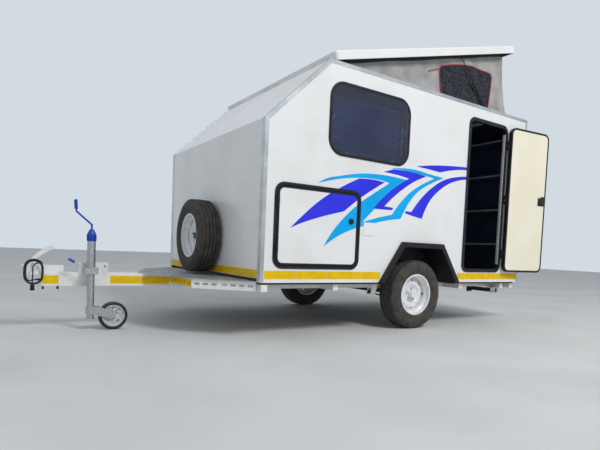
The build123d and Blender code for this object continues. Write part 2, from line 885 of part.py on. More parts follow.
# Deck frame: a crossbar with holes and a slotted channel out to the body's corner, each side.
deck_back_x = front_x - 4
crossbar_front_x = front_x - 375.0
crossbar_inner_y = beam_width + (crossbar_front_x - nose_end) * math.tan(spread)
crossbar_back_y = beam_width + (crossbar_front_x + crossbar_depth - nose_end) * math.tan(spread)
channel_corner_y = 970.0
channel_sheet = 4.0
channel_start = Vector(crossbar_front_x, deck_wing_half - 10, 0)
channel_end = Vector(beam_end_x, channel_corner_y, 0)
channel_line = channel_end - channel_start
channel_plane = Plane(
    origin=channel_start + Vector(0, 0, beam_top - crossbar_height),
    x_dir=channel_line,
    z_dir=(channel_line.Y, -channel_line.X, 0),
)
slot_length = 44.0
slot_height = 17.0
slot_pitch = 66.0
slot_count = 7
with BuildPart() as deck_frame:
    prism_xy(
        [
            (crossbar_front_x, crossbar_inner_y),
            (crossbar_front_x, deck_wing_half - 10),
            (crossbar_front_x + crossbar_depth, deck_wing_half - 10),
            (crossbar_front_x + crossbar_depth, crossbar_back_y),
        ],
        beam_top - crossbar_height,
        beam_top,
    )
    block(
        crossbar_front_x + channel_sheet,
        crossbar_front_x + crossbar_depth + 1,
        0,
        deck_wing_half + 20,
        beam_top - crossbar_height + channel_sheet,
        beam_top - channel_sheet,
        Mode.SUBTRACT,
    )
    with BuildSketch(channel_plane):
        with Locations((channel_line.length / 2, crossbar_height / 2)):
            Rectangle(channel_line.length, crossbar_height)
        for number in range(slot_count):
            along = 40 + number * slot_pitch + (12 if number > 2 else 0)
            with Locations((along, crossbar_height / 2)):
                SlotOverall(slot_length, slot_height, mode=Mode.SUBTRACT)
    extrude(amount=channel_sheet)
    with BuildSketch(channel_plane):
        with Locations((channel_line.length / 2, crossbar_height - channel_sheet / 2)):
            Rectangle(channel_line.length, channel_sheet)
    extrude(amount=30)
    block(deck_back_x, deck_back_x + 100, 0, half, beam_top - crossbar_height - 1, beam_top + 1, Mode.SUBTRACT)
    mirror(about=Plane.XZ)
write(deck_frame, "deck_frame")

with BuildPart() as deck_plate:
    prism_xy(
        [
            (deck_front_x, -deck_front_half),
            (deck_wing_x, -deck_wing_half),
            (deck_back_x, -channel_corner_y - 10),
            (deck_back_x, channel_corner_y + 10),
            (deck_wing_x, deck_wing_half),
            (deck_front_x, deck_front_half),
        ],
        beam_top,
        beam_top + deck_sheet,
    )
write(deck_plate, "deck_plate")

# Coupling head: a pressed housing over the tow ball with its shaft on the beam.
housing_bottom = -14.0
socket_top = 2.0
hook_x = 40.0
hook_z = 78.0
hook_radius = 6.0
with BuildPart() as coupling_head:
    with BuildSketch(Plane.XY.offset(housing_bottom)):
        Circle(coupling_radius)
    extrude(amount=coupling_top - housing_bottom)
    block(0, nose_start, -coupling_half_width, coupling_half_width, housing_bottom, coupling_top)
    block(nose_start, coupling_shaft_end, -coupling_half_width, coupling_half_width, beam_top, coupling_top)
    with BuildSketch(Plane.XY.offset(housing_bottom)):
        Circle(ball_radius)
    extrude(amount=socket_top - housing_bottom, mode=Mode.SUBTRACT)
    with Locations((0, 0, socket_top)):
        Sphere(ball_radius, mode=Mode.SUBTRACT)
    block(hook_x - 10, hook_x + 10, -coupling_half_width - 5, -coupling_half_width, 20, hook_z + 8)
    rod((hook_x, -coupling_half_width - 2, hook_z), (hook_x, -coupling_half_width - 50, hook_z), hook_radius)
write(coupling_head, "coupling_head")

lever_points = [(36, coupling_top), (52, 92), (92, 130), (148, 168), (176, 178)]
with BuildPart() as coupling_lever:
    with BuildSketch(Plane.XZ.offset(-14)):
        with BuildLine():
            Spline(*lever_points)
            Line(lever_points[-1], (172, 204))
            Spline((172, 204), (136, 196), (84, 162), (36, 116), (10, coupling_top))
            Line((10, coupling_top), lever_points[0])
        make_face()
    extrude(amount=28)
write(coupling_lever, "coupling_lever")

# Jockey wheel: the clamp on the beam, the outer tube with its crank, and the leg that runs in it.
clamp_plate = 10.0
plate_low_x = jockey_x - 70.0
plate_high_x = jockey_x + 138.0
with BuildPart() as jockey_clamp:
    block(
        plate_low_x,
        plate_high_x,
        -beam_width - clamp_plate,
        -beam_width,
        beam_bottom,
        beam_top + 82,
    )
    block(
        jockey_x - 46,
        jockey_x + 46,
        jockey_y - 40,
        -beam_width - clamp_plate,
        0,
        52,
    )
    with BuildSketch(Plane.XY.offset(-1)):
        with Locations((jockey_x, jockey_y)):
            Circle(jockey_outer_radius)
    extrude(amount=60, mode=Mode.SUBTRACT)
    rod((jockey_x - 40, jockey_y - 20, 45), (jockey_x - 150, jockey_y - 20, 108), 5)
    rod((jockey_x - 118, jockey_y - 20, 89.7), (jockey_x - 160, jockey_y - 20, 113.7), 10)
write(jockey_clamp, "jockey_clamp")

cap_top = 364.0
with BuildPart() as jockey_tube:
    with BuildSketch(Plane.XY.offset(jockey_tube_bottom)):
        with Locations((jockey_x, jockey_y)):
            Circle(jockey_outer_radius)
    extrude(amount=jockey_tube_top - jockey_tube_bottom)
    with BuildSketch(Plane.XY.offset(jockey_tube_bottom - 1)):
        with Locations((jockey_x, jockey_y)):
            Circle(jockey_inner_radius + running_gap)
    extrude(amount=jockey_tube_top - jockey_tube_bottom - 8, mode=Mode.SUBTRACT)
write(jockey_tube, "jockey_tube")

with BuildPart() as jockey_crank:
    with BuildSketch(Plane.XY.offset(jockey_tube_top)):
        with Locations((jockey_x, jockey_y)):
            Circle(jockey_outer_radius + 3)
    extrude(amount=52)
    with BuildSketch(Plane.XY.offset(jockey_tube_top + 52)):
        with Locations((jockey_x, jockey_y)):
            Circle(jockey_outer_radius + 3)
    extrude(amount=38, taper=26)
    rod((jockey_x, jockey_y, jockey_tube_top + 80), (jockey_x, jockey_y, cap_top + 16), 7)
    rod((jockey_x, jockey_y, cap_top + 10), (jockey_x - 110, jockey_y, 470), 7)
    rod((jockey_x - 108, jockey_y, 462), (jockey_x - 114, jockey_y, 556), 6)
    rod((jockey_x - 110, jockey_y, 484), (jockey_x - 114, jockey_y, 552), 12)
write(jockey_crank, "jockey_crank")

leg_top = 186.0
jockey_wheel_z = ground_z + jockey_wheel_radius
leg_bottom = jockey_wheel_z - 20
with BuildPart() as jockey_leg:
    with BuildSketch(Plane.XY.offset(leg_bottom)):
        with Locations((jockey_x, jockey_y)):
            Circle(jockey_inner_radius)
    extrude(amount=leg_top - leg_bottom)
write(jockey_leg, "jockey_leg")

fork_gap = 4.0
fork_sheet = 5.0
collar_radius = jockey_inner_radius + 9
collar_low = jockey_wheel_z + 20
collar_high = collar_low + 55
with BuildPart() as jockey_fork:
    barrel(jockey_x, jockey_y, collar_low, collar_high, collar_radius)
    for side in (-1, 1):
        y_mid = jockey_y + side * (jockey_wheel_width / 2 + fork_gap + fork_sheet / 2)
        prism_xz(
            [
                (jockey_x - 10, collar_low),
                (jockey_x - 10, collar_high),
                (jockey_x + 60, collar_high),
                (jockey_x + jockey_trail + 18, jockey_wheel_z + 20),
                (jockey_x + jockey_trail + 18, jockey_wheel_z - 18),
                (jockey_x + jockey_trail - 18, jockey_wheel_z - 18),
            ],
            y_mid - fork_sheet / 2,
            y_mid + fork_sheet / 2,
        )
    barrel(jockey_x, jockey_y, collar_low - 1, collar_high + 1, jockey_inner_radius + running_gap, Mode.SUBTRACT)
    rod(
        (jockey_x + jockey_trail, jockey_y - jockey_wheel_width / 2 - 10, jockey_wheel_z),
        (jockey_x + jockey_trail, jockey_y + jockey_wheel_width / 2 + 10, jockey_wheel_z),
        6,
    )
write(jockey_fork, "jockey_fork")

with BuildPart() as jockey_wheel:
    with BuildSketch(Plane.XZ.offset(-jockey_y - jockey_wheel_width / 2)):
        with Locations((jockey_x + jockey_trail, jockey_wheel_z)):
            Circle(jockey_wheel_radius)
            Circle(6 + running_gap, mode=Mode.SUBTRACT)
    extrude(amount=jockey_wheel_width)
write(jockey_wheel, "jockey_wheel")

# Lid: a shallow pan, drawn shut on the roof and then swung up about its front hinge.
lid_low = roof_height + lid_seat_gap
hinge_x = front_x + lid_front_x - hinge_barrel - 3
hinge_z = roof_height + hinge_barrel
lid_axis = Axis((hinge_x, 0, hinge_z), (0, 1, 0))
with BuildPart() as lid_shut:
    block(
        front_x + lid_front_x,
        front_x + lid_front_x + lid_length,
        -half,
        half,
        lid_low,
        lid_low + lid_depth,
    )
    fillet(lid_shut.edges().filter_by(Axis.Z), 30)
    fillet(lid_shut.faces().sort_by(Axis.Z)[-1].edges(), 14)
    block(
        front_x + lid_front_x + lid_rim,
        front_x + lid_front_x + lid_length - lid_rim,
        -half + lid_rim,
        half - lid_rim,
        lid_low - 1,
        lid_low + lid_depth - lid_skin,
        Mode.SUBTRACT,
    )
with BuildPart() as lid:
    add(lid_shut.part.rotate(lid_axis, -lid_open_deg))
write(lid, "lid")

lid_barrel_length = 90.0
lid_hinge_places = (-780.0, 0.0, 780.0)


def lid_barrel(y_low, y_high):
    """One hinge barrel across the vehicle."""
    rod((hinge_x, y_low, hinge_z), (hinge_x, y_high, hinge_z), hinge_barrel)


strut_eye = 9.0
strut_lid_z = lid_low + strut_lid_rise
lug_sheet = 5.0
lug_inner_y = strut_y - 4 - 1
with BuildPart() as lid_fittings_shut:
    for place in lid_hinge_places:
        lid_barrel(place - lid_barrel_length / 2, place + lid_barrel_length / 2)
        block(
            hinge_x,
            front_x + lid_front_x,
            place - lid_barrel_length / 2,
            place + lid_barrel_length / 2,
            hinge_z - 2,
            hinge_z + hinge_barrel,
        )
    for side in (-1, 1):
        y_low = min(side * lug_inner_y, side * (lug_inner_y - lug_sheet))
        block(
            front_x + strut_lid_x - 22,
            front_x + strut_lid_x + 22,
            y_low,
            y_low + lug_sheet,
            strut_lid_z - 12,
            lid_low + lid_depth - lid_skin,
        )
with BuildPart() as lid_fittings:
    add(lid_fittings_shut.part.rotate(lid_axis, -lid_open_deg))
write(lid_fittings, "lid_fittings")

# Gas struts. The tube turns on the roof's bracket and the rod's eye meets the lid's bracket.
shut_offset = Vector(front_x + strut_lid_x - hinge_x, 0, strut_lid_z - hinge_z)
open_offset = shut_offset.rotate(Axis.Y, -lid_open_deg)
strut_eye_open = Vector(hinge_x, 0, hinge_z) + open_offset
strut_base = Vector(front_x + strut_roof_x, 0, strut_roof_z)
strut_line = strut_eye_open - strut_base
strut_dir = strut_line.normalized()
tube_start = 26.0
tube_guide = 12.0
rod_inside = 14.0
with BuildPart() as roof_fittings:
    for place in lid_hinge_places:
        for end in (-1, 1):
            y_mid = place + end * (lid_barrel_length + barrel_gap)
            y_low = y_mid - lid_barrel_length / 2
            y_high = y_mid + lid_barrel_length / 2
            lid_barrel(y_low, y_high)
            block(hinge_x - 30, hinge_x, y_low, y_high, roof_height, roof_height + 3)
    for side in (-1, 1):
        y_low = min(side * lug_inner_y, side * (lug_inner_y - lug_sheet))
        y_high = y_low + lug_sheet
        block(strut_base.X - 12, strut_base.X + 12, y_low, y_high, roof_height, strut_roof_z + 10)
        pin_start = (strut_base.X, side * lug_inner_y, strut_roof_z)
        pin_end = (strut_base.X, side * (strut_y + 5), strut_roof_z)
        rod(pin_start, pin_end, 4)
write(roof_fittings, "roof_fittings")

for side, label in ((-1, "left"), (1, "right")):
    base = strut_base + Vector(0, side * strut_y, 0)
    tip = strut_eye_open + Vector(0, side * strut_y, 0)
    with BuildPart() as strut_tube:
        rod(tuple(base + strut_dir * tube_start), tuple(base + strut_dir * strut_tube_length), strut_radius)
        rod(tuple(base), tuple(base + strut_dir * tube_start), 4)
        rod(tuple(base - Vector(0, 4, 0)), tuple(base + Vector(0, 4, 0)), strut_eye)
        rod(tuple(base - Vector(0, 5, 0)), tuple(base + Vector(0, 5, 0)), 4 + running_gap, Mode.SUBTRACT)
        guide = base + strut_dir * (strut_tube_length - tube_guide)
        rod(tuple(base + strut_dir * (tube_start + 6)), tuple(guide), strut_radius - 2, Mode.SUBTRACT)
        rod(tuple(guide), tuple(guide + strut_dir * 20), strut_rod_radius + running_gap, Mode.SUBTRACT)
    write(strut_tube, f"strut_tube_{label}")
    with BuildPart() as strut_rod:
        rod(tuple(base + strut_dir * (strut_tube_length - rod_inside)), tuple(tip), strut_rod_radius)
        rod(tuple(tip - Vector(0, 4, 0)), tuple(tip + Vector(0, 4, 0)), strut_eye)
        rod(tuple(tip - Vector(0, 5, 0)), tuple(tip + Vector(0, 5, 0)), 4 + running_gap, Mode.SUBTRACT)
    write(strut_rod, f"strut_rod_{label}")

# Tent canvas: thin walls from the roof up to the open lid.
soft_gap = 0.4
lid_tan = math.tan(math.radians(lid_open_deg))
under_point = Vector(front_x + lid_front_x - hinge_x, 0, lid_low + lid_depth - lid_skin - hinge_z)
under_open = Vector(hinge_x, 0, hinge_z) + under_point.rotate(Axis.Y, -lid_open_deg)


def lid_under_z(x):
    """Height of the open lid's underside at a place along the roof."""
    return under_open.Z + (x - under_open.X) * lid_tan - soft_gap


canvas_foot = roof_height + soft_gap


def canvas_profile(inset, over):
    """Side outline of the canvas, inset at its ends and run over at top and foot."""
    front = front_x + canvas_front + inset
    top_rear = front_x + canvas_top_rear - inset
    foot_rear = front_x + canvas_foot_rear - inset
    lean = (foot_rear - top_rear) / (lid_under_z(top_rear) - canvas_foot)
    return [
        (front, canvas_foot - over),
        (front, lid_under_z(front) + over),
        (top_rear - over * lean, lid_under_z(top_rear - over * lean) + over),
        (foot_rear + over * lean, canvas_foot - over),
    ]


with BuildPart() as tent_canvas:
    prism_xz(canvas_profile(0, 0), -canvas_half, canvas_half)
    prism_xz(
        canvas_profile(canvas_sheet, 20),
        canvas_sheet - canvas_half,
        canvas_half - canvas_sheet,
        Mode.SUBTRACT,
    )
write(tent_canvas, "tent_canvas")

# Small fixed pieces on the body.
hatch_width = 130.0
hatch_height = 105.0
hatch_x = locker_x + locker_width / 2 + 105
hatch_z = locker_centre_z + 21
with BuildPart() as side_hatch:
    rounded_plate(hatch_x, hatch_z, hatch_width, hatch_height, 10, -half - 5, -half)
write(side_hatch, "side_hatch")

with BuildPart() as tail_lamps:
    for side in (-1, 1):
        y_mid = side * 880.0
        block(rear_x, rear_x + 28, y_mid - 45, y_mid + 45, 330, 560)
write(tail_lamps, "tail_lamps")

# Rear steadies: each leg folds up inboard from its bracket.
for side, label in ((-1, "left"), (1, "right")):
    pivot_y = -side * steady_y
    inward = -side
    foot_y = pivot_y + inward * steady_length
    with BuildPart() as steady_leg:
        y_low = min(pivot_y - inward * steady_heel, foot_y)
        y_high = max(pivot_y - inward * steady_heel, foot_y)
        block(
            steady_x - steady_tube / 2,
            steady_x + steady_tube / 2,
            y_low,
            y_high,
            steady_z - steady_tube / 2,
            steady_z + steady_tube / 2,
        )
        y_low = min(foot_y, foot_y + inward * 6)
        block(steady_x - 45, steady_x + 45, y_low, y_low + 6, steady_z - 40, steady_z + 24)
        rod(
            (steady_x - 30, pivot_y, steady_z),
            (steady_x + 30, pivot_y, steady_z),
            steady_pin + running_gap,
            Mode.SUBTRACT,
        )
    write(steady_leg, f"steady_leg_{label}")

# Trailer lead: out of the gland on the nose beam's end, looped over the coupling's hook, with its
# plug hanging from the loop. The loop is one ring of the two turns' outer shape.
lead_radius = 4.5
ring_radius = 65.0
ring_deep = 20.0
ring_wide = 12.0
ring_x = hook_x
ring_y = -66.0
ring_top_z = hook_z + hook_radius + 0.3 + ring_deep / 2 - ring_radius
ring_low_z = ring_top_z - 50.0
plug_radius = 15.0
plug_length = 50.0
feed_route = [
    (gland_x, gland_y, gland_z),
    (46.0, -22.0, -50.0),
    (16.0, -48.0, -58.0),
    (-13.2, ring_y, ring_low_z - 37.3),
]
tail_route = [
    (96.3, ring_y, ring_top_z + 32.5),
    (64.0, -84.0, 80.0),
    (30.0, -88.0, 54.0),
    (33.0, -90.0, 4.0),
    (30.0, -88.0, -42.0),
    (30.0, -88.0, -74.0),
]


def bend_radii(route):
    """Bend radius at each inner point, from the shorter run beside it and the turn there."""
    radii = []
    for before, here, after in zip(route, route[1:], route[2:]):
        run_in = Vector(*here) - Vector(*before)
        run_out = Vector(*after) - Vector(*here)
        turn = math.radians(run_in.get_angle(run_out))
        radii.append(0.45 * min(run_in.length, run_out.length) / math.tan(turn / 2))
    return radii


with BuildPart() as lead:
    for route in (feed_route, tail_route):
        radii = bend_radii(route)
        print("bend radii", [round(radius) for radius in radii])
        with BuildLine() as path:
            FilletPolyline(*route, radius=radii)
        with BuildSketch(Plane(origin=path.line @ 0, z_dir=path.line % 0)):
            Circle(lead_radius)
        sweep(path=path.wire())
        print("lead length", round(path.wire().length), "volume", round(lead.part.volume))
write(lead, "lead")

with BuildPart() as lead_coil:
    with BuildSketch(Plane.XZ.offset(-ring_y - ring_wide / 2)):
        with Locations((ring_x, (ring_top_z + ring_low_z) / 2)):
            straight = ring_top_z - ring_low_z
            outer = ring_radius + ring_deep / 2
            inner = ring_radius - ring_deep / 2
            SlotCenterToCenter(straight, 2 * outer, rotation=90)
            SlotCenterToCenter(straight, 2 * inner, rotation=90, mode=Mode.SUBTRACT)
    extrude(amount=ring_wide)
    fillet(lead_coil.edges(), 4)
write(lead_coil, "lead_coil")

with BuildPart() as lead_plug:
    plug_x, plug_y, plug_z = tail_route[-1]
    barrel(plug_x, plug_y, plug_z - plug_length, plug_z - 12, plug_radius)
    barrel(plug_x, plug_y, plug_z - 14, plug_z, plug_radius - 6)
write(lead_plug, "lead_plug")
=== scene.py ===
# %% [markdown]
# # An off-road caravan with its pop-top tent up
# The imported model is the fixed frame: every size and place comes from it. This lesson dresses it:
# finishes for the panels, metal and plastic, then the pieces that only a modeller's hand gives,
# such as tyre tread, folded cloth, cut vinyl and a looped lead.

import json
import math

import bmesh
import bpy
from mathutils import Matrix, Vector

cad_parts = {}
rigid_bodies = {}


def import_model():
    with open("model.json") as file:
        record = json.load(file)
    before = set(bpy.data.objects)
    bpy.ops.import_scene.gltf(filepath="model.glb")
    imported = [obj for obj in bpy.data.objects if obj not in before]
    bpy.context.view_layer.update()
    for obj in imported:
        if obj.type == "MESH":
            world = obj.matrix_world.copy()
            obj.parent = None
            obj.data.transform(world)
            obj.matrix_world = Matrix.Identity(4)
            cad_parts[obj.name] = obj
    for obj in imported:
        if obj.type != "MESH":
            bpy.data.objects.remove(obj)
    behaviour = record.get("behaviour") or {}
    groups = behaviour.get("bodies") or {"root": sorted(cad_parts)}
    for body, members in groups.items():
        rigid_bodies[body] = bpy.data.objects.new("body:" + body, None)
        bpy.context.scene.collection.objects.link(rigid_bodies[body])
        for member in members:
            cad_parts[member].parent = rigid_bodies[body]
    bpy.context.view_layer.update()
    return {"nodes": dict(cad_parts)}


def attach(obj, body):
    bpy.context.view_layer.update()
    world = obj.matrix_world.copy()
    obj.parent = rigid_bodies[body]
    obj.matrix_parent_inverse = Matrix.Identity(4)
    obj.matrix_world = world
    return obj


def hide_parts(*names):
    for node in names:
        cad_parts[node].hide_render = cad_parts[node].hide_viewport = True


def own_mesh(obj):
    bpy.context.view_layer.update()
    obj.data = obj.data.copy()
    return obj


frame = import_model()
nodes = frame["nodes"]
scene = bpy.context.scene

# %% [markdown]
# ## The camera
# The viewpoint was worked out from straight edges of the body whose real lengths are known. The lens
# is wide and stands low, near the drawbar's side.

# %% Camera
yaw, pitch, roll = 0.5881, -0.0528, 0.0427
camera_data = bpy.data.cameras.new("viewpoint")
camera_data.sensor_width = 36.0
camera_data.lens = 28.89
camera_data.shift_x = -0.0057
camera_data.shift_y = 0.0819
camera = bpy.data.objects.new("viewpoint", camera_data)
scene.collection.objects.link(camera)
camera.matrix_world = (
    Matrix.Translation((-0.2678, -4.0678, 0.2615))
    @ Matrix.Rotation(-yaw, 4, "Z")
    @ Matrix.Rotation(math.pi / 2 + pitch, 4, "X")
    @ Matrix.Rotation(roll, 4, "Z")
)
scene.camera = camera
scene.view_settings.view_transform = "Standard"
print("camera at", tuple(round(value, 3) for value in camera.location))

# %% [markdown]
# ## Small tools
# Blender's operators act on whatever is selected, so each tool first selects only its own piece. A
# finished piece keeps its place in its mesh, with its object at the origin, as the CAD nodes have it.


# %% Selecting and settling a piece
def nothing_selected():
    """Back to object mode with an empty selection."""
    if bpy.context.object and bpy.context.object.mode != "OBJECT":
        bpy.ops.object.mode_set(mode="OBJECT")
    bpy.ops.object.select_all(action="DESELECT")


def only(piece):
    """Makes one piece the selected and active one."""
    nothing_selected()
    piece.select_set(True)
    bpy.context.view_layer.objects.active = piece
    return piece


def settle(piece):
    """Writes a piece's place, turn and size into its mesh."""
    only(piece)
    bpy.ops.object.transform_apply(location=True, rotation=True, scale=True)
    return piece


def pick(piece, wanted):
    """Goes to edit mode with the vertices selected whose place passes the test."""
    only(piece)
    bpy.ops.object.mode_set(mode="EDIT")
    bpy.ops.mesh.select_mode(type="VERT")
    bpy.ops.mesh.select_all(action="DESELECT")
    mesh = bmesh.from_edit_mesh(piece.data)
    for vertex in mesh.verts:
        if wanted(vertex.co):
            vertex.select_set(True)
    mesh.select_flush(True)
    bmesh.update_edit_mesh(piece.data)


def apply_modifier(piece, kind, **settings):
    """Adds one modifier with its settings and applies it."""
    only(piece)
    modifier = piece.modifiers.new(kind.lower(), kind)
    for name, value in settings.items():
        setattr(modifier, name, value)
    bpy.ops.object.modifier_apply(modifier=modifier.name)
    return piece


def face_outwards(piece):
    """Merges doubled vertices and turns every face outwards."""
    only(piece)
    bpy.ops.object.mode_set(mode="EDIT")
    bpy.ops.mesh.select_all(action="SELECT")
    bpy.ops.mesh.remove_doubles(threshold=0.00005)
    bpy.ops.mesh.normals_make_consistent(inside=False)
    bpy.ops.object.mode_set(mode="OBJECT")
    return piece


# %% Copies, joins and the last dressing of a piece
def copy_of(piece, name, shift=(0, 0, 0), across=False):
    """A copy with its own mesh, moved, or mirrored to the vehicle's other side."""
    twin = piece.copy()
    twin.data = piece.data.copy()
    twin.name = name
    scene.collection.objects.link(twin)
    twin.data.transform(Matrix.Translation(shift))
    if across:
        twin.data.transform(Matrix.Scale(-1, 4, (0, 1, 0)))
        twin.data.flip_normals()
    return twin


def join(name, parts):
    """Several meshes become one piece."""
    nothing_selected()
    for part in parts:
        part.select_set(True)
    bpy.context.view_layer.objects.active = parts[0]
    if len(parts) > 1:
        bpy.ops.object.join()
    parts[0].name = name
    return parts[0]


def dress(piece, material, body, smooth=None, instead_of=()):
    """Gives a finished piece its material and its CAD body, and can smooth it and hide the nodes it stands in for."""
    piece.data.materials.clear()
    piece.data.materials.append(material)
    if smooth is not None:
        only(piece)
        bpy.ops.object.shade_smooth_by_angle(angle=math.radians(smooth))
    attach(piece, body)
    if instead_of:
        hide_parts(*instead_of)
    return piece


# %% [markdown]
# ## Shapes that come back
# Most small fittings are a block with its edges rounded over or a turned piece. A turned piece starts
# as a circle, and each further ring is pulled out of the last one and scaled, as on a lathe.


# %% A rounded block and a turned piece
def slab(name, low, high, rounding=0.0015, segments=2):
    """A block between two corners, its edges rounded over."""
    low, high = Vector(low), Vector(high)
    nothing_selected()
    bpy.ops.mesh.primitive_cube_add(size=1, location=(0, 0, 0))
    piece = bpy.context.object
    piece.name = name
    bpy.ops.object.mode_set(mode="EDIT")
    bpy.ops.mesh.select_all(action="SELECT")
    bpy.ops.transform.resize(value=high - low, center_override=(0, 0, 0))
    bpy.ops.transform.translate(value=(low + high) / 2)
    bpy.ops.mesh.bevel(offset=rounding, segments=segments, affect="EDGES")
    bpy.ops.object.mode_set(mode="OBJECT")
    return piece


def turned(name, profile, sides=32, closed=False):
    """A lathe piece about Z from (radius, height) rings. A closed profile ends where it began."""
    nothing_selected()
    radius, height = profile[0]
    fill = "NOTHING" if closed else "NGON"
    bpy.ops.mesh.primitive_circle_add(vertices=sides, radius=radius, fill_type=fill, location=(0, 0, 0))
    piece = bpy.context.object
    piece.name = name
    bpy.ops.object.mode_set(mode="EDIT")
    bpy.ops.mesh.select_all(action="SELECT")
    bpy.ops.transform.translate(value=(0, 0, height))
    for ring, (next_radius, next_height) in zip(profile, profile[1:]):
        step = (0, 0, next_height - ring[1])
        bpy.ops.mesh.extrude_region_move(TRANSFORM_OT_translate={"value": step})
        growth = next_radius / ring[0]
        bpy.ops.transform.resize(value=(growth, growth, 1), center_override=(0, 0, next_height))
    bpy.ops.object.mode_set(mode="OBJECT")
    return face_outwards(piece)


def stand(piece, along, at):
    """Turns a piece's Z axis to a direction and moves it to its place."""
    turn = Vector(along).to_track_quat("Z", "Y").to_matrix().to_4x4()
    piece.data.transform(Matrix.Translation(at) @ turn)
    return piece


# %% [markdown]
# ## Materials: the helpers
# A hex colour is written as the eye sees it, and Blender works in linear light, so one function turns
# the one into the other. One more adds a node, and two lay a pattern over a finish: a drift of
# colour, and a fine relief.


# %% Colour and nodes
def linear(code):
    """An sRGB hex colour as linear RGBA."""
    parts = [int(code[start : start + 2], 16) / 255 for start in (1, 3, 5)]
    return (*[p / 12.92 if p <= 0.04045 else ((p + 0.055) / 1.055) ** 2.4 for p in parts], 1.0)


def add_node(tree, kind, settings=None, inputs=None):
    """Adds a node with its settings, and sets or links its inputs."""
    node = tree.nodes.new(kind)
    for name, value in (settings or {}).items():
        setattr(node, name, value)
    for name, value in (inputs or {}).items():
        if isinstance(value, bpy.types.NodeSocket):
            tree.links.new(value, node.inputs[name])
        else:
            node.inputs[name].default_value = value
    return node


def finish(name, colour, roughness, metallic=0.0, **sockets):
    """A new material with its shader's own sockets set."""
    material = bpy.data.materials.new(name)
    material.use_nodes = True
    shader = material.node_tree.nodes["Principled BSDF"]
    shader.inputs["Base Color"].default_value = linear(colour)
    shader.inputs["Roughness"].default_value = roughness
    shader.inputs["Metallic"].default_value = metallic
    for socket, value in sockets.items():
        shader.inputs[socket.replace("_", " ")].default_value = value
    return material


def place_mm(tree, size_mm, stretch=(1, 1, 1)):
    """Object coordinates scaled so that one unit is the pattern's size in millimetres."""
    spot = add_node(tree, "ShaderNodeTexCoord").outputs["Object"]
    scale = [1000.0 / size_mm / axis for axis in stretch]
    return add_node(tree, "ShaderNodeMapping", inputs={"Vector": spot, "Scale": scale}).outputs["Vector"]


def drift(material, low, high, size_mm, stretch=(1, 1, 1), start=0.35, end=0.65, detail=4.0):
    """A slow change of colour between two hex colours."""
    tree = material.node_tree
    noise = add_node(
        tree,
        "ShaderNodeTexNoise",
        inputs={"Vector": place_mm(tree, size_mm, stretch), "Scale": 1.0, "Detail": detail},
    )
    ramp = add_node(tree, "ShaderNodeValToRGB", inputs={"Fac": noise.outputs["Fac"]})
    ramp.color_ramp.elements[0].position = start
    ramp.color_ramp.elements[0].color = linear(low)
    ramp.color_ramp.elements[1].position = end
    ramp.color_ramp.elements[1].color = linear(high)
    tree.links.new(ramp.outputs["Color"], tree.nodes["Principled BSDF"].inputs["Base Color"])
    return material


def relief(material, size_mm, height_mm, stretch=(1, 1, 1), pattern="noise", strength=1.0):
    """A fine raised pattern as a bump."""
    tree = material.node_tree
    spot = place_mm(tree, size_mm, stretch)
    if pattern == "cells":
        source = add_node(tree, "ShaderNodeTexVoronoi", inputs={"Vector": spot, "Scale": 1.0})
        height = source.outputs["Distance"]
    elif pattern == "weave":
        waves = []
        for direction in ("X", "Z"):
            wave = add_node(
                tree,
                "ShaderNodeTexWave",
                settings={"bands_direction": direction, "wave_profile": "SIN"},
                inputs={"Vector": spot, "Scale": 0.314, "Distortion": 0.0},
            )
            waves.append(wave.outputs["Fac"])
        height = add_node(tree, "ShaderNodeMath", settings={"operation": "MULTIPLY"}, inputs={0: waves[0], 1: waves[1]})
        height = height.outputs[0]
    else:
        source = add_node(tree, "ShaderNodeTexNoise", inputs={"Vector": spot, "Scale": 1.0, "Detail": 3.0})
        height = source.outputs["Fac"]
    bump = add_node(
        tree,
        "ShaderNodeBump",
        inputs={"Strength": strength, "Distance": height_mm / 1000, "Height": height},
    )
    tree.links.new(bump.outputs["Normal"], tree.nodes["Principled BSDF"].inputs["Normal"])
    return material


def uneven_gloss(material, low, high, size_mm, stretch=(1, 1, 1)):
    """Roughness that wanders between two values, as handling and dust leave it."""
    tree = material.node_tree
    noise = add_node(
        tree,
        "ShaderNodeTexNoise",
        inputs={"Vector": place_mm(tree, size_mm, stretch), "Scale": 1.0, "Detail": 5.0},
    )
    spread = add_node(
        tree,
        "ShaderNodeMapRange",
        inputs={"Value": noise.outputs["Fac"], "From Min": 0.3, "From Max": 0.7, "To Min": low, "To Max": high},
    )
    tree.links.new(spread.outputs["Result"], tree.nodes["Principled BSDF"].inputs["Roughness"])
    return material


# %% [markdown]
# ## Materials: body
# The panels are a sandwich with a gel-coated glass fibre face: white, glossy, and very slightly wavy
# like orange peel, which bends its reflections a little. Road dust gathers as a faint warm drift.

# %% Gel-coated panel, moulded frames and folded alloy edges
gelcoat = finish("gelcoated_panel", "#f1f1ef", 0.28, IOR=1.5)
drift(gelcoat, "#ecebe7", "#f5f5f3", 420.0, start=0.3, end=0.55)
relief(gelcoat, 7.0, 0.02, strength=0.6)
uneven_gloss(gelcoat, 0.24, 0.34, 260.0)

moulded_black = finish("moulded_black_abs", "#1b1b20", 0.5, IOR=1.54, Specular_IOR_Level=0.25)
drift(moulded_black, "#17171b", "#212127", 90.0)
relief(moulded_black, 1.6, 0.05, strength=0.5)

folded_alloy = finish("mill_finish_alloy_angle", "#c3c6c8", 0.38, metallic=1.0)
drift(folded_alloy, "#b7babc", "#cdd0d2", 160.0)
relief(folded_alloy, 2.0, 0.02, stretch=(30, 30, 1), strength=0.5)
uneven_gloss(folded_alloy, 0.30, 0.48, 60.0)

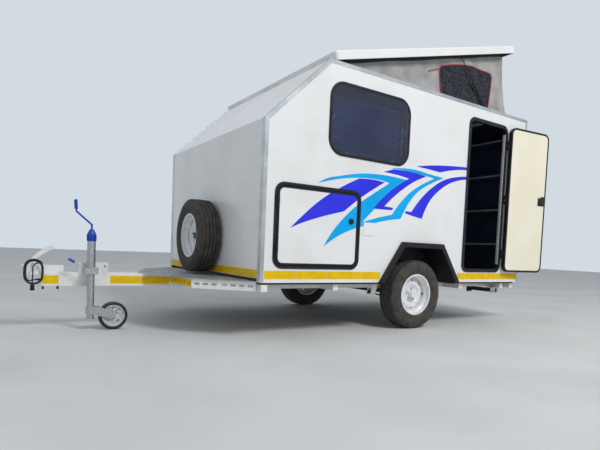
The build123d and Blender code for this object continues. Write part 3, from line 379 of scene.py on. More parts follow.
cream_liner = finish("cream_laminate_liner", "#fbf3da", 0.36, IOR=1.5)
drift(cream_liner, "#f8efd3", "#fdf6e2", 300.0)
relief(cream_liner, 1.8, 0.03, strength=0.5)
print("body finishes:", gelcoat.name, moulded_black.name, folded_alloy.name, cream_liner.name)

# %% [markdown]
# The windows are blown acrylic with a grey tint, so they need the IOR of acrylic and a tinted
# transmission. Behind each hangs a pleated blind of navy polyester, matt and finely woven.

# %% Tinted acrylic, blind cloth, interior boards
tinted_acrylic = finish(
    "tinted_acrylic", "#a0abc6", 0.03, IOR=1.25, Transmission_Weight=0.92, Specular_IOR_Level=0.1
)
drift(tinted_acrylic, "#99a4c0", "#a7b2cc", 300.0)
relief(tinted_acrylic, 180.0, 0.35, strength=0.35)

blind_cloth = finish("pleated_navy_polyester", "#24407c", 0.85)
drift(blind_cloth, "#203a72", "#294788", 70.0)
relief(blind_cloth, 1.6, 0.1, pattern="weave")

navy_laminate = finish("navy_laminated_board", "#34435a", 0.4, IOR=1.5)
drift(navy_laminate, "#2d3b50", "#3c4c65", 240.0)
relief(navy_laminate, 2.4, 0.04, strength=0.5)

board_edge = finish("grey_edge_banding", "#8b929c", 0.45)
drift(board_edge, "#7f8690", "#989fa8", 60.0)
relief(board_edge, 1.8, 0.03)

floor_ply = finish("sealed_birch_ply", "#6f5a41", 0.5)
drift(floor_ply, "#5f4c36", "#836b4e", 30.0, stretch=(12, 1, 1))
relief(floor_ply, 3.0, 0.1, stretch=(18, 1, 1))
print("interior finishes ready")

# %% [markdown]
# The tent is a coated polycotton canvas. Its weave is finer than a pixel here, so the bump is drawn
# four times as coarse as the real thread, and a slow drift of tone stands for dust and old folds.

# %% Canvas, insect net and piping
canvas = finish("coated_polycotton_canvas", "#a3a29e", 0.9)
drift(canvas, "#969591", "#b0afab", 130.0, detail=6.0)
relief(canvas, 3.2, 0.25, pattern="weave", strength=0.7)

insect_net = finish("fine_insect_net", "#34353b", 0.9, Specular_IOR_Level=0.1)
drift(insect_net, "#26272d", "#45464d", 26.0, detail=8.0)
relief(insect_net, 2.4, 0.3, pattern="weave")

red_piping = finish("red_vinyl_piping", "#c3283a", 0.4)
drift(red_piping, "#b42234", "#cf3446", 40.0)
relief(red_piping, 2.0, 0.05)

# A near-black cloth finish that is painted shade: it darkens the lid's hollow underside, and it is the band hung below
# the lid where the overhang's shadow falls on the canvas.
painted_shade_cloth = finish("painted_shade_dark_cloth", "#2b2b30", 0.75)
drift(painted_shade_cloth, "#232328", "#35353b", 18.0)
relief(painted_shade_cloth, 2.0, 0.2, pattern="weave")
print("cloth finishes ready")

# %% [markdown]
# ## Materials: metal and rubber
# The chassis is sprayed white over steel, the axle and springs black. The jockey wheel's tube is hot
# dip galvanised: zinc crystals show as pale patches a few millimetres wide.

# %% Chassis paints and galvanised steel
chassis_white = finish("white_chassis_enamel", "#eeede9", 0.38, IOR=1.5)
drift(chassis_white, "#e4e1da", "#f3f2ef", 110.0, start=0.3, end=0.55)
relief(chassis_white, 5.0, 0.04, strength=0.7)
uneven_gloss(chassis_white, 0.3, 0.5, 90.0)

underbody_black = finish("black_underbody_paint", "#1d1d1f", 0.55)
drift(underbody_black, "#171719", "#2c2a27", 60.0, start=0.35, end=0.75)
relief(underbody_black, 3.0, 0.12)

galvanised = finish("hot_dip_galvanised_steel", "#b4b8ba", 0.42, metallic=1.0)
drift(galvanised, "#9fa4a7", "#c6cacc", 9.0, start=0.3, end=0.7, detail=1.0)
relief(galvanised, 8.0, 0.03, pattern="cells", strength=0.6)
uneven_gloss(galvanised, 0.34, 0.55, 14.0)

wheel_enamel = finish("silver_white_wheel_enamel", "#ececec", 0.3)
drift(wheel_enamel, "#e2e2e2", "#f3f4f5", 70.0)
relief(wheel_enamel, 3.5, 0.03, strength=0.6)
uneven_gloss(wheel_enamel, 0.26, 0.42, 40.0)

polished_chrome = finish("chromed_nut", "#cfd1d4", 0.14, metallic=1.0)
drift(polished_chrome, "#c4c6c9", "#dcdee0", 25.0)
print("metal finishes ready")

# %% Deck plate, tyre rubber, cable sheath
deck_metal = finish("rolled_tread_plate", "#a9adb0", 0.36, metallic=1.0)
drift(deck_metal, "#979b9e", "#bcc0c3", 80.0)
relief(deck_metal, 2.2, 0.03, stretch=(1, 14, 1), strength=0.6)
uneven_gloss(deck_metal, 0.3, 0.52, 45.0)

tyre_rubber = finish("vulcanised_tyre_rubber", "#4a4743", 0.8, Specular_IOR_Level=0.3)
drift(tyre_rubber, "#3e3c39", "#5b564f", 55.0, start=0.35, end=0.8, detail=6.0)
relief(tyre_rubber, 1.5, 0.08)

cable_sheath = finish("soft_pvc_cable_sheath", "#1b1b1d", 0.5)
drift(cable_sheath, "#161618", "#252528", 20.0)
relief(cable_sheath, 1.0, 0.03)

wheel_nylon = finish("grey_nylon_wheel", "#c9cbcc", 0.45)
drift(wheel_nylon, "#bcbebf", "#d6d8d8", 30.0)
relief(wheel_nylon, 1.4, 0.04)

blue_polythene = finish("blue_moulded_polythene", "#0b3fae", 0.35)
drift(blue_polythene, "#0a3798", "#1149c0", 35.0)
relief(blue_polythene, 1.5, 0.04)
print("rubber and plastic finishes ready")

# %% [markdown]
# ## Materials: vinyl, tape and lamps
# Stripes are cast vinyl film, glossy and thin. The marking tape is retroreflective: a honeycomb of
# sealed cells about 4 mm across under a clear yellow face.

# %% Vinyl, reflective tape and lamp lenses
violet_vinyl = finish("violet_cast_vinyl", "#3236e8", 0.4, IOR=1.5, Specular_IOR_Level=0.2)
drift(violet_vinyl, "#2e32e0", "#383cee", 300.0)
relief(violet_vinyl, 9.0, 0.02)

cyan_vinyl = finish("cyan_cast_vinyl", "#04b0f6", 0.4, IOR=1.5, Specular_IOR_Level=0.2)
drift(cyan_vinyl, "#02a9f0", "#06b7fa", 300.0)
relief(cyan_vinyl, 9.0, 0.02)

marking_tape = finish("yellow_reflective_tape", "#f5c604", 0.45, Specular_IOR_Level=0.2)
drift(marking_tape, "#f0bd02", "#f8ce06", 60.0)
relief(marking_tape, 4.0, 0.06, pattern="cells", strength=0.4)

red_lens = finish("red_ribbed_acrylic", "#b3121a", 0.12, IOR=1.49, Coat_Weight=0.4)
drift(red_lens, "#a60f17", "#c0161f", 25.0)
relief(red_lens, 3.0, 0.3, stretch=(1, 1, 40))

amber_lens = finish("amber_ribbed_acrylic", "#e07a0c", 0.12, IOR=1.49, Coat_Weight=0.4)
drift(amber_lens, "#d87208", "#ea8614", 25.0)
relief(amber_lens, 3.0, 0.3, stretch=(1, 1, 40))

seal_rubber = finish("grey_foam_seal", "#b9babb", 0.6)
drift(seal_rubber, "#a9aaab", "#c6c7c8", 15.0)
relief(seal_rubber, 1.6, 0.1)
print(len(bpy.data.materials), "materials")

# %% [markdown]
# ## The trailer lead
# A seven-core lead leaves the gland on the nose of the drawbar, hangs in two loose turns on the
# coupling's hook, and ends in its plug. One NURBS spline runs through the route's points, so the
# turns are one smooth line and no two of them are quite the same size.

# %% The lead's line
lead_radius = 0.0045
lead_exit = (0.076, -0.022, -0.050)
coil_x, coil_top, coil_low = 0.040, 0.0365, -0.0185
feed = [lead_exit, (0.046, -0.022, -0.050), (0.016, -0.048, -0.058)]
tail = [
    (0.064, -0.084, 0.080),
    (0.030, -0.088, 0.054),
    (0.033, -0.090, 0.004),
    (0.030, -0.088, -0.042),
    (0.030, -0.088, -0.0745),
]
coil = []
coil_points = 35
for number in range(coil_points + 1):
    share = number / coil_points
    angle = math.radians(215.0 - 905.0 * share)
    radius = (0.0500 + 0.0160 * share) * 1.025
    centre = coil_top if math.sin(angle) > 0 else coil_low
    wander = 0.0006 * math.sin(5.0 * share * math.pi)
    coil.append(
        (
            coil_x + (radius + wander) * math.cos(angle),
            -0.0600 - 0.0155 * share,
            centre + (radius + wander) * math.sin(angle),
        )
    )
lead_data = bpy.data.curves.new("trailer_lead", "CURVE")
lead_data.dimensions = "3D"
lead_data.bevel_depth = 1.0
lead_data.bevel_resolution = 4
lead_data.resolution_u = 8
lead_data.use_fill_caps = True
line = lead_data.splines.new("NURBS")
route = feed + coil + tail
line.points.add(len(route) - 1)
for point, place in zip(line.points, route):
    point.co = (*place, 1.0)
    point.radius = lead_radius
line.order_u = 3
line.use_endpoint_u = True
lead = bpy.data.objects.new("trailer_lead", lead_data)
scene.collection.objects.link(lead)
lead_data.materials.append(cable_sheath)
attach(lead, "trailer")
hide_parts("lead", "lead_coil")

# %% The bare line made into a mesh and removed again
lead_data.bevel_depth = 0.0
bare = bpy.data.meshes.new_from_object(lead.evaluated_get(bpy.context.evaluated_depsgraph_get()))
lead_data.bevel_depth = 1.0
bpy.data.meshes.remove(bare)

# %% [markdown]
# The plug is a turned plastic body with a knurled collar and a screwed cable nut. The gland has a
# tapered strain relief, so that the lead doesn't kink where it leaves the beam.

# %% Plug and strain relief
plug = turned(
    "lead_plug_body",
    [
        (0.0050, -0.0740), (0.0078, -0.0742), (0.0085, -0.0758), (0.0085, -0.0835), (0.0105, -0.0850),
        (0.0140, -0.0872), (0.0148, -0.0895), (0.0148, -0.0985), (0.0136, -0.0993), (0.0136, -0.1065),
        (0.0149, -0.1080), (0.0149, -0.1222), (0.0140, -0.1240), (0.0115, -0.1240), (0.0110, -0.1195),
    ],
    sides=36,
)
stand(plug, (0, 0, 1), (0.030, -0.088, 0))
dress(plug, moulded_black, "trailer", smooth=35, instead_of=["lead_plug"])
relief_cone = turned(
    "lead_strain_relief",
    [(0.0078, 0.0), (0.0080, 0.003), (0.0072, 0.006), (0.0066, 0.014), (0.0056, 0.023), (0.0050, 0.028)],
    sides=24,
)
stand(relief_cone, Vector(feed[1]) - Vector(feed[0]), (0.0780, -0.022, -0.050))
dress(relief_cone, moulded_black, "trailer", smooth=40)
print("plug", tuple(round(size, 3) for size in plug.dimensions))

# %% [markdown]
# ## Finishes on the CAD nodes
# A node whose shape is already right keeps it, and only takes its real finish.

# %% One finish for each CAD node
node_finish = {
    gelcoat: "wall_left wall_right wall_front wall_rear front_slope roof_frame lid side_hatch entry_door_panel "
    "locker_door_left locker_door_right",
    moulded_black: "window_frames door_frame entry_door_edge locker_frames locker_trim_left locker_trim_right "
    "wheel_arches lead_plug",
    folded_alloy: "edge_trims",
    cream_liner: "entry_door_liner",
    tinted_acrylic: "window_panes",
    blind_cloth: "window_blinds",
    navy_laminate: "rear_cabinet bed_base",
    floor_ply: "floor_panel",
    canvas: "tent_canvas",
    chassis_white: "chassis_frame deck_frame drawbar coupling_head coupling_lever",
    underbody_black: "axle_beam leaf_springs spare_carrier steady_leg_left steady_leg_right lid_fittings "
    "roof_fittings strut_tube_left strut_tube_right strut_rod_left strut_rod_right",
    galvanised: "jockey_tube jockey_leg jockey_fork jockey_clamp",
    wheel_enamel: "rim_left rim_right spare_rim",
    deck_metal: "deck_plate",
    tyre_rubber: "tyre_left tyre_right spare_tyre",
    cable_sheath: "lead lead_coil",
    wheel_nylon: "jockey_wheel",
    blue_polythene: "jockey_crank",
    red_lens: "tail_lamps",
}
painted = set()
for material, names in node_finish.items():
    for name in names.split():
        mesh = nodes[name].data
        mesh.materials.clear()
        mesh.materials.append(material)
        painted.add(name)
print("without a finish:", sorted(set(nodes) - painted))

# %% [markdown]
# Some nodes show two finishes: a panel is laminated navy on its inner face, the small wheel has a
# rubber tyre on a nylon rim, and bolts are black. A second slot takes the faces found by their place.


# %% Second finishes by place
def also(name, material, wanted):
    """Adds a finish to a node for the faces whose middle and normal pass the test."""
    mesh = nodes[name].data
    mesh.materials.append(material)
    number = len(mesh.materials) - 1
    count = 0
    for face in mesh.polygons:
        if wanted(face.center, face.normal):
            face.material_index = number
            count += 1
    return count


lid_turn = Matrix.Rotation(math.radians(15.5), 3, "Y")
lid_pivot = Vector((1.998, 0, 1.735))


def inside_lid(middle, normal):
    """True for the faces of the lid's hollow underside, tested with the lid swung shut."""
    shut = lid_turn @ (middle - lid_pivot) + lid_pivot
    return abs(shut.y) < 0.9885 and shut.z < 1.7806 and 2.018 < shut.x < 4.3565


second_finishes = [
    ("wall_left", navy_laminate, lambda middle, normal: middle.y > -0.9702),
    ("wall_right", navy_laminate, lambda middle, normal: middle.y < 0.9702),
    ("wall_front", navy_laminate, lambda middle, normal: normal.x > 0.5),
    ("wall_rear", navy_laminate, lambda middle, normal: normal.x < -0.5),
    ("front_slope", navy_laminate, lambda middle, normal: normal.z < -0.3),
    ("roof_frame", navy_laminate, lambda middle, normal: normal.z < -0.3),
    # Black on the floor panel's edges and underside is painted shade: it darkens the ply edge in the gap under the
    # skirt.
    ("floor_panel", underbody_black, lambda middle, normal: normal.z < 0.5),
    # The lid's underside takes the near-black finish as painted shade under the open lid.
    ("lid", painted_shade_cloth, inside_lid),
    ("rear_cabinet", board_edge, lambda middle, normal: middle.x < 4.2905),
    ("drawbar", underbody_black, lambda middle, normal: middle.z < -0.0965 or middle.x < 0.0895),
    ("jockey_clamp", chassis_white, lambda middle, normal: middle.y > -0.0605 and middle.x > 0.344),
    ("jockey_clamp", blue_polythene, lambda middle, normal: middle.x < 0.2980 and middle.z > 0.084),
    ("tail_lamps", amber_lens, lambda middle, normal: middle.z > 0.480),
]
for name, material, wanted in second_finishes:
    print(name, material.name, also(name, material, wanted), "faces")

# %% [markdown]
# ## The pop-top tent
# The canvas is one sheet sewn round four walls. It is nailed to the roof's upstand, held up under the
# lid, and a little too large between them, so it bellies out and gathers near the back corners. A
# grid is bent round the roof opening, and a few slow waves give the slack.

# %% The canvas's own surface
canvas_front, canvas_back_foot, canvas_back_top = 2.090, 4.306, 4.181
canvas_half, canvas_foot = 0.930, 1.7297
lid_line = (1.9946, 1.7804)
lid_slope = math.tan(math.radians(15.5))


def under_lid(x):
    """Height of the open lid's underside."""
    return lid_line[1] + (x - lid_line[0]) * lid_slope


def belly(along, height_share, room):
    """How far the canvas stands in or out of its plane, in metres."""
    rise = math.sin(math.pi * min(max(height_share, 0.0), 1.0))
    waves = 0.9 * math.sin(5.1 * along + 2.0 * height_share)
    waves += 0.7 * math.sin(11.3 * along - 3.2 * height_share + 1.0)
    waves += 0.45 * math.sin(23.0 * along + 5.0 * height_share)
    return rise * room * 0.011 * (waves - 0.6)


canvas_lean = (canvas_back_foot - canvas_back_top) / (canvas_back_foot - canvas_front)


def side_surface(x, z, side, proud=0.0):
    """A point on the side canvas at a place along the roof and a height."""
    share = (z - canvas_foot) / (under_lid(x) - canvas_foot)
    room = min(1.0, (under_lid(x) - canvas_foot) / 0.55)
    foot_x = (x - canvas_lean * canvas_front * share) / (1 - canvas_lean * share)
    return Vector((x, side * (canvas_half + belly(foot_x, share, room) + proud), z))


# %% The canvas, bent from one grid
columns, rows = 420, 36
corner = 0.030
straight = {"side": canvas_back_foot - canvas_front - 2 * corner, "end": 2 * canvas_half - 2 * corner}
bend = math.pi / 2 * corner
lap = 2 * straight["side"] + 2 * straight["end"] + 4 * bend


def around(distance):
    """A place on the rounded foot line, as share back, across, and the outward direction."""
    legs = [("side", -1), ("bend", 0), ("end", 1), ("bend", 1), ("side", 1), ("bend", 2), ("end", -1), ("bend", 3)]
    for kind, where in legs:
        length = bend if kind == "bend" else straight[kind]
        if distance <= length:
            break
        distance -= length
    low_x, high_x = canvas_front + corner, canvas_back_foot - corner
    edge = canvas_half - corner
    if kind == "side":
        x = low_x + distance if where < 0 else high_x - distance
        return x, where * canvas_half, (0.0, float(where))
    if kind == "end":
        y = -edge + distance if where > 0 else edge - distance
        return (canvas_back_foot if where > 0 else canvas_front), y, (float(where), 0.0)
    centre = [(high_x, -edge), (high_x, edge), (low_x, edge), (low_x, -edge)][where]
    angle = -math.pi / 2 + where * math.pi / 2 + distance / corner
    return centre[0] + corner * math.cos(angle), centre[1] + corner * math.sin(angle), (math.cos(angle), math.sin(angle))


def cloth_round(name, cloth_rows, low_share, proud):
    """A band of cloth round the tent, from a share of its height up to the lid."""
    nothing_selected()
    bpy.ops.mesh.primitive_grid_add(x_subdivisions=columns, y_subdivisions=cloth_rows, size=2, location=(0, 0, 0))
    band = bpy.context.object
    band.name = name
    for vertex in band.data.vertices:
        distance = (vertex.co.x + 1) / 2 * lap
        foot_x, y, out = around(min(distance, lap - 1e-6))
        tall = under_lid(foot_x - canvas_lean * (foot_x - canvas_front)) - canvas_foot
        low = low_share(distance, tall)
        height_share = low + (vertex.co.y + 1) / 2 * (1 - low)
        x = foot_x - canvas_lean * (foot_x - canvas_front) * height_share
        top = under_lid(x)
        room = min(1.0, (top - canvas_foot) / 0.55)
        along = foot_x if abs(out[1]) > 0.5 else 7.0 + y
        stand_off = belly(along, height_share, room) + proud
        z = canvas_foot + height_share * (top - canvas_foot)
        vertex.co = (x + out[0] * stand_off, y + out[1] * stand_off, z)
    return face_outwards(band)


tent = cloth_round("tent_walls", rows, lambda distance, tall: 0.0, 0.0)
dress(tent, canvas, "trailer", smooth=60, instead_of=["tent_canvas"])
# The dark band round the top of the canvas is painted shadow: a strip of near-black cloth for the shadow that the lid's
# overhang casts on the canvas.
lid_shadow_band = cloth_round(
    "tent_lid_shadow_band",
    4,
    lambda distance, tall: max(0.25, 1 - (0.062 + 0.003 * math.sin(9.0 * distance)) / tall),
    0.004,
)
dress(lid_shadow_band, painted_shade_cloth, "trailer", smooth=60)

# %% [markdown]
# Each side has a net window with a red piped edge. The piping is a cord sewn into the seam, so it is a
# round tube that follows the same slack surface.

# %% Net window and piping on each side
net_left, net_right, net_foot = 3.250, 4.000, 1.752


def net_top(x):
    """Height of the net window's upper edge, round at its two corners."""
    share = (x - net_left) / (net_right - net_left)
    height = 1.984 + 0.126 * math.sin(math.pi * (0.06 + 0.60 * share)) / math.sin(math.pi * 0.5)
    edge = min(x - net_left, net_right - x)
    turn = 0.030
    if edge < turn:
        height -= turn - math.sqrt(max(turn * turn - (turn - edge) ** 2, 0.0))
    return height


def tube_along(name, places, thickness):
    """A round tube through places, made a mesh."""
    data = bpy.data.curves.new(name, "CURVE")
    data.dimensions = "3D"
    data.bevel_depth = thickness / 2
    data.bevel_resolution = 2
    data.use_fill_caps = True
    path = data.splines.new("POLY")
    path.points.add(len(places) - 1)
    for point, place in zip(path.points, places):
        point.co = (*place, 1.0)
    tube = bpy.data.objects.new(name, data)
    scene.collection.objects.link(tube)
    only(tube)
    bpy.ops.object.convert(target="MESH")
    return bpy.context.object


tent_trims = [lid_shadow_band]
for side, label in ((-1, "left"), (1, "right")):
    nothing_selected()
    bpy.ops.mesh.primitive_grid_add(x_subdivisions=48, y_subdivisions=24, size=2, location=(0, 0, 0))
    net = bpy.context.object
    net.name = f"tent_net_{label}"
    for vertex in net.data.vertices:
        x = net_left + (vertex.co.x + 1) / 2 * (net_right - net_left)
        z = net_foot + (vertex.co.y + 1) / 2 * (net_top(x) - net_foot)
        x += 0.022 * (1 - (z - net_foot) / 0.30) * (1 if x < 3.6 else -1) * abs(x - 3.625) / 0.375
        vertex.co = side_surface(x, z, side, proud=0.003)
    dress(net, insect_net, "trailer", smooth=60)
    places = [side_surface(net_left + 0.022 * (1 - step / 12), net_foot + step / 12 * 0.225, side, 0.003) for step in range(13)]
    places = places[:-1]
    for step in range(41):
        x = net_left + 0.0005 + step / 40 * (net_right - net_left - 0.001)
        places.append(side_surface(x, net_top(x), side, 0.003))
    for step in range(1, 13):
        places.append(
            side_surface(net_right - 0.022 * step / 12, net_top(net_right - 0.001) - step / 12 * 0.30, side, 0.003)
        )
    piping = tube_along(f"tent_piping_{label}", places, 0.009)
    dress(piping, red_piping, "trailer", smooth=50)
    tail_places = [side_surface(3.105 + step / 10 * 0.150, 1.927 + step / 10 * 0.060, side, 0.003) for step in range(11)]
    flap = tube_along(f"tent_flap_edge_{label}", tail_places, 0.009)
    dress(flap, red_piping, "trailer", smooth=50)
    tent_trims += [net, piping, flap]
for piece in [tent, *tent_trims]:
    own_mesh(piece)
print("net windows", round(net_right - net_left, 2), "m long")

# %% [markdown]
# ## Road tyres
# A road tread is a set of ribs round the tyre with grooves 8 mm deep between them. The ribs are turned
# with the carcass. The shoulders are cut across as well, so their blocks are made once and spun round.

# %% Carcass with ribs, and shoulder blocks
half_section = [
    (0.1800, 0.0770), (0.1935, 0.0820), (0.1990, 0.0855), (0.2040, 0.0890), (0.2120, 0.0915),
    (0.2175, 0.0935), (0.2190, 0.0953), (0.2225, 0.0955), (0.2240, 0.0940), (0.2360, 0.0955),
    (0.2480, 0.0965), (0.2600, 0.0956), (0.2615, 0.0964), (0.2640, 0.0962), (0.2655, 0.0947),
    (0.2760, 0.0922), (0.2860, 0.0888), (0.2950, 0.0842), (0.3020, 0.0790), (0.3062, 0.0730),
    (0.3068, 0.0512), (0.3050, 0.0498), (0.3050, 0.0432), (0.3128, 0.0420), (0.3137, 0.0200),
    (0.3058, 0.0188), (0.3058, 0.0122), (0.3139, 0.0110),
]
section = half_section + [(radius, -height) for radius, height in reversed(half_section)] + half_section[:1]
carcass = turned("tyre_carcass", section, sides=128, closed=True)
stand(carcass, (0, -1, 0), (0, 0, 0))
pitches = 72
blocks = []
for side in (-1, 1):
    low_y, high_y = sorted((side * 0.0515, side * 0.0735))
    blocks.append(slab("shoulder_block", (-0.0123, low_y, 0.3040), (0.0123, high_y, 0.3119), 0.0012, 1))
    low_y, high_y = sorted((side * 0.0710, side * 0.0815))
    blocks.append(slab("shoulder_rib", (-0.0108, low_y, 0.2960), (0.0108, high_y, 0.3068), 0.0028, 1))
tread = join("tyre_tread", blocks)
only(tread)
bpy.ops.object.mode_set(mode="EDIT")
bpy.ops.mesh.select_all(action="SELECT")
bpy.ops.mesh.spin(
    steps=pitches - 1,
    dupli=True,
    angle=2 * math.pi * (pitches - 1) / pitches,
    center=(0, 0, 0),
    axis=(0, 1, 0),
)
bpy.ops.object.mode_set(mode="OBJECT")
road_tyre = join("tyre_with_tread_left", [carcass, tread])
print("tyre faces", len(road_tyre.data.polygons), "width", round(road_tyre.dimensions.y, 4))

# %% Three tyres in their places
hub = Vector((3.050, 0.8925, -0.1155))
tyre_right = copy_of(road_tyre, "tyre_with_tread_right", shift=hub)
tyre_spare = copy_of(road_tyre, "tyre_with_tread_spare")
road_tyre.data.transform(Matrix.Translation((hub.x, -hub.y, hub.z)))
spare_centre = Vector((1.2885, -0.040, 0.335))
tyre_spare.data.transform(Matrix.Translation(spare_centre) @ Matrix.Rotation(math.pi / 2, 4, "Z"))
dress(road_tyre, tyre_rubber, "wheel_left", smooth=32, instead_of=["tyre_left"])
dress(tyre_right, tyre_rubber, "wheel_right", smooth=32, instead_of=["tyre_right"])
dress(tyre_spare, tyre_rubber, "trailer", smooth=32, instead_of=["spare_tyre"])

# %% [markdown]
# Five nuts hold each wheel on a 112 mm circle. A nut is a hexagon with a chamfered end on a conical
# seat, so the turned tool with six sides makes it.

# %% Wheel nuts and valve stems
nut = turned("wheel_nut", [(0.0125, 0.0), (0.0125, 0.003), (0.0112, 0.004), (0.0112, 0.016), (0.0092, 0.019)], sides=6)
valve = turned("valve", [(0.0045, 0.0), (0.0045, 0.012), (0.0032, 0.014), (0.0040, 0.016), (0.0040, 0.028), (0.0030, 0.030)], sides=14)
wheels = {
    "left": (Vector((hub.x, -hub.y, hub.z)), Vector((0, -1, 0)), "wheel_left"),
    "right": (hub, Vector((0, 1, 0)), "wheel_right"),
    "spare": (spare_centre, Vector((-1, 0, 0)), "trailer"),
}
for label, (centre, out, body) in wheels.items():
    face = out.to_track_quat("Z", "Y").to_matrix().to_4x4()
    ring = []
    for number in range(5):
        angle = 2 * math.pi * number / 5 + 0.3
        piece = copy_of(nut, f"nut_{label}_{number}")
        spot = Matrix.Translation((0.0535 * math.cos(angle), 0.0535 * math.sin(angle), 0.0115))
        piece.data.transform(Matrix.Translation(centre) @ face @ spot)
        ring.append(piece)
    dress(join(f"wheel_nuts_{label}", ring), polished_chrome, body, smooth=30)
    stem = copy_of(valve, f"valve_{label}")
    stem.data.transform(Matrix.Translation(centre) @ face @ Matrix.Translation((0.150, 0.0, 0.000)))
    dress(stem, cable_sheath, body, smooth=35)
for pattern in (nut, valve):
    bpy.data.objects.remove(pattern)
print("nuts on", len(wheels), "wheels")

# %% [markdown]
# The jockey wheel is a solid rubber tyre on a moulded rim. The rim's web has a ring of round holes,
# cut by one cutter joined from eight punches set round the axle.

# %% Jockey wheel
jockey_hub = (0.580, -0.137, -0.322)
jockey_half = 0.025
jockey_tyre = turned(
    "jockey_wheel_tyre",
    [
        (0.0840, 0.0190), (0.0885, 0.0235), (0.0990, 0.0240), (0.1055, 0.0205), (0.1080, 0.0120), (0.1080, -0.0120),
        (0.1055, -0.0205), (0.0990, -0.0240), (0.0885, -0.0235), (0.0840, -0.0190), (0.0840, 0.0190),
    ],
    sides=64,
    closed=True,
)
jockey_rim = turned(
    "jockey_wheel_rim",
    [
        (0.0063, 0.0240), (0.0190, 0.0240), (0.0205, 0.0225), (0.0235, 0.0070), (0.0710, 0.0060), (0.0750, 0.0180),
        (0.0775, 0.0205), (0.0838, 0.0200), (0.0838, -0.0200), (0.0775, -0.0205), (0.0750, -0.0180),
        (0.0710, -0.0060), (0.0235, -0.0070), (0.0205, -0.0225), (0.0190, -0.0240), (0.0063, -0.0240),
        (0.0063, 0.0240),
    ],
    sides=64,
    closed=True,
)
punches = []
for number in range(8):
    punch = turned("punch", [(0.0090, -0.02), (0.0090, 0.02)], sides=20)
    only(punch)
    bpy.ops.object.mode_set(mode="EDIT")
    bpy.ops.mesh.select_all(action="SELECT")
    bpy.ops.mesh.edge_face_add()
    bpy.ops.object.mode_set(mode="OBJECT")
    punch.data.transform(Matrix.Rotation(2 * math.pi * number / 8, 4, "Z") @ Matrix.Translation((0.048, 0, 0)))
    punches.append(punch)
punch = join("punches", punches)
apply_modifier(jockey_rim, "BOOLEAN", operation="DIFFERENCE", object=punch, solver="EXACT")
bpy.data.objects.remove(punch)
for piece, material, slot, instead in (
    (jockey_tyre, cable_sheath, "black_rubber", ["jockey_wheel"]),
    (jockey_rim, wheel_nylon, "black_rubber", []),
):
    stand(piece, (0, -1, 0), jockey_hub)
    dress(piece, material, "jockey_wheel", smooth=35, instead_of=instead)
print("jockey wheel", len(jockey_rim.data.polygons), "rim faces")

# %% [markdown]
# ## Vinyl stripes
# Sweeping two-tone stripes are common on caravans. Each colour is a closed outline of smooth curves
# with sharp tips, filled, and as thin as film. Where a stripe runs over the locker, the film is cut at
# the frame, and the door carries its own part.

# %% The outlines, in millimetres on the side wall
# A third number marks a sharp point.
stripes = {
    "blade_violet": (violet_vinyl, [(1637, 412, 1), (1725, 494), (1846, 599), (1983, 696), (2093, 757), (2196, 811), (2289, 854, 1), (2439, 861), (2569, 853, 1), (2420, 767), (2265, 668), (2139, 574, 1), (1926, 517), (1727, 451)]),
    "blade_cyan": (cyan_vinyl, [(1869, 771, 1), (1965, 819), (2088, 851), (2215, 880), (2348, 901), (2499, 911), (2645, 912), (2846, 901, 1), (2732, 833), (2604, 732), (2468, 619), (2348, 510, 1), (2321, 461, 1), (2196, 421), (2082, 369), (1950, 286, 1), (2033, 407), (2142, 524), (2267, 630), (2446, 746), (2622, 851, 1), (2568, 860), (2438, 867), (2289, 858), (2147, 839), (2033, 815)]),
    "hook_cyan": (cyan_vinyl, [(2613, 978, 1), (2734, 994), (2860, 1003), (2976, 1000), (3081, 989), (3299, 973, 1), (3148, 909), (3018, 843), (2934, 779), (2868, 707), (2817, 632), (2773, 558, 1), (2644, 539), (2539, 518), (2425, 488), (2321, 461, 1), (2349, 505, 1), (2448, 533), (2563, 563), (2668, 586, 1), (2731, 665), (2795, 730), (2875, 798), (2986, 866), (3175, 954, 1), (3068, 964), (2862, 978), (2667, 980)]),
    "hook_violet": (violet_vinyl, [(2550, 939, 1), (2667, 976, 1), (2862, 978), (3068, 962, 1), (2925, 900), (2789, 820), (2671, 734), (2576, 652, 1), (2684, 646, 1), (2665, 625, 1), (2558, 623), (2455, 622, 1), (2527, 696), (2627, 778), (2731, 848), (2852, 916, 1), (2711, 932)]),
    "upper_violet": (violet_vinyl, [(2936, 1035, 1), (3060, 1057), (3211, 1078), (3401, 1097), (3592, 1111), (3900, 1120), (4170, 1098, 1), (3900, 1094), (3595, 1084), (3405, 1057), (3248, 1020, 1), (3092, 1029)]),
    "lower_violet": (violet_vinyl, [(4170, 1030, 1), (3900, 1032), (3600, 1021), (3492, 1005), (3379, 979), (3270, 938), (3152, 868), (3038, 778), (2956, 694), (2903, 628, 1), (2831, 630, 1), (2825, 612, 1), (2920, 594), (3039, 577, 1), (3077, 663), (3145, 762), (3231, 839), (3337, 908), (3463, 960), (3603, 992), (3900, 1016)]),
}
film = 0.0002


def cut_film(name, outline, y):
    """Film of a closed outline, upright at a distance across."""
    data = bpy.data.curves.new(name, "CURVE")
    data.dimensions = "2D"
    data.fill_mode = "BOTH"
    data.extrude = film / 2
    data.resolution_u = 6
    path = data.splines.new("BEZIER")
    path.bezier_points.add(len(outline) - 1)
    for point, spot in zip(path.bezier_points, outline):
        point.co = (spot[0] / 1000, spot[1] / 1000, 0)
        kind = "VECTOR" if len(spot) > 2 else "AUTO"
        point.handle_left_type = kind
        point.handle_right_type = kind
    path.use_cyclic_u = True
    piece = bpy.data.objects.new(name, data)
    scene.collection.objects.link(piece)
    only(piece)
    bpy.ops.object.convert(target="MESH")
    piece = bpy.context.object
    piece.data.transform(Matrix.Translation((0, y, 0)) @ Matrix.Rotation(math.pi / 2, 4, "X"))
    return face_outwards(piece)


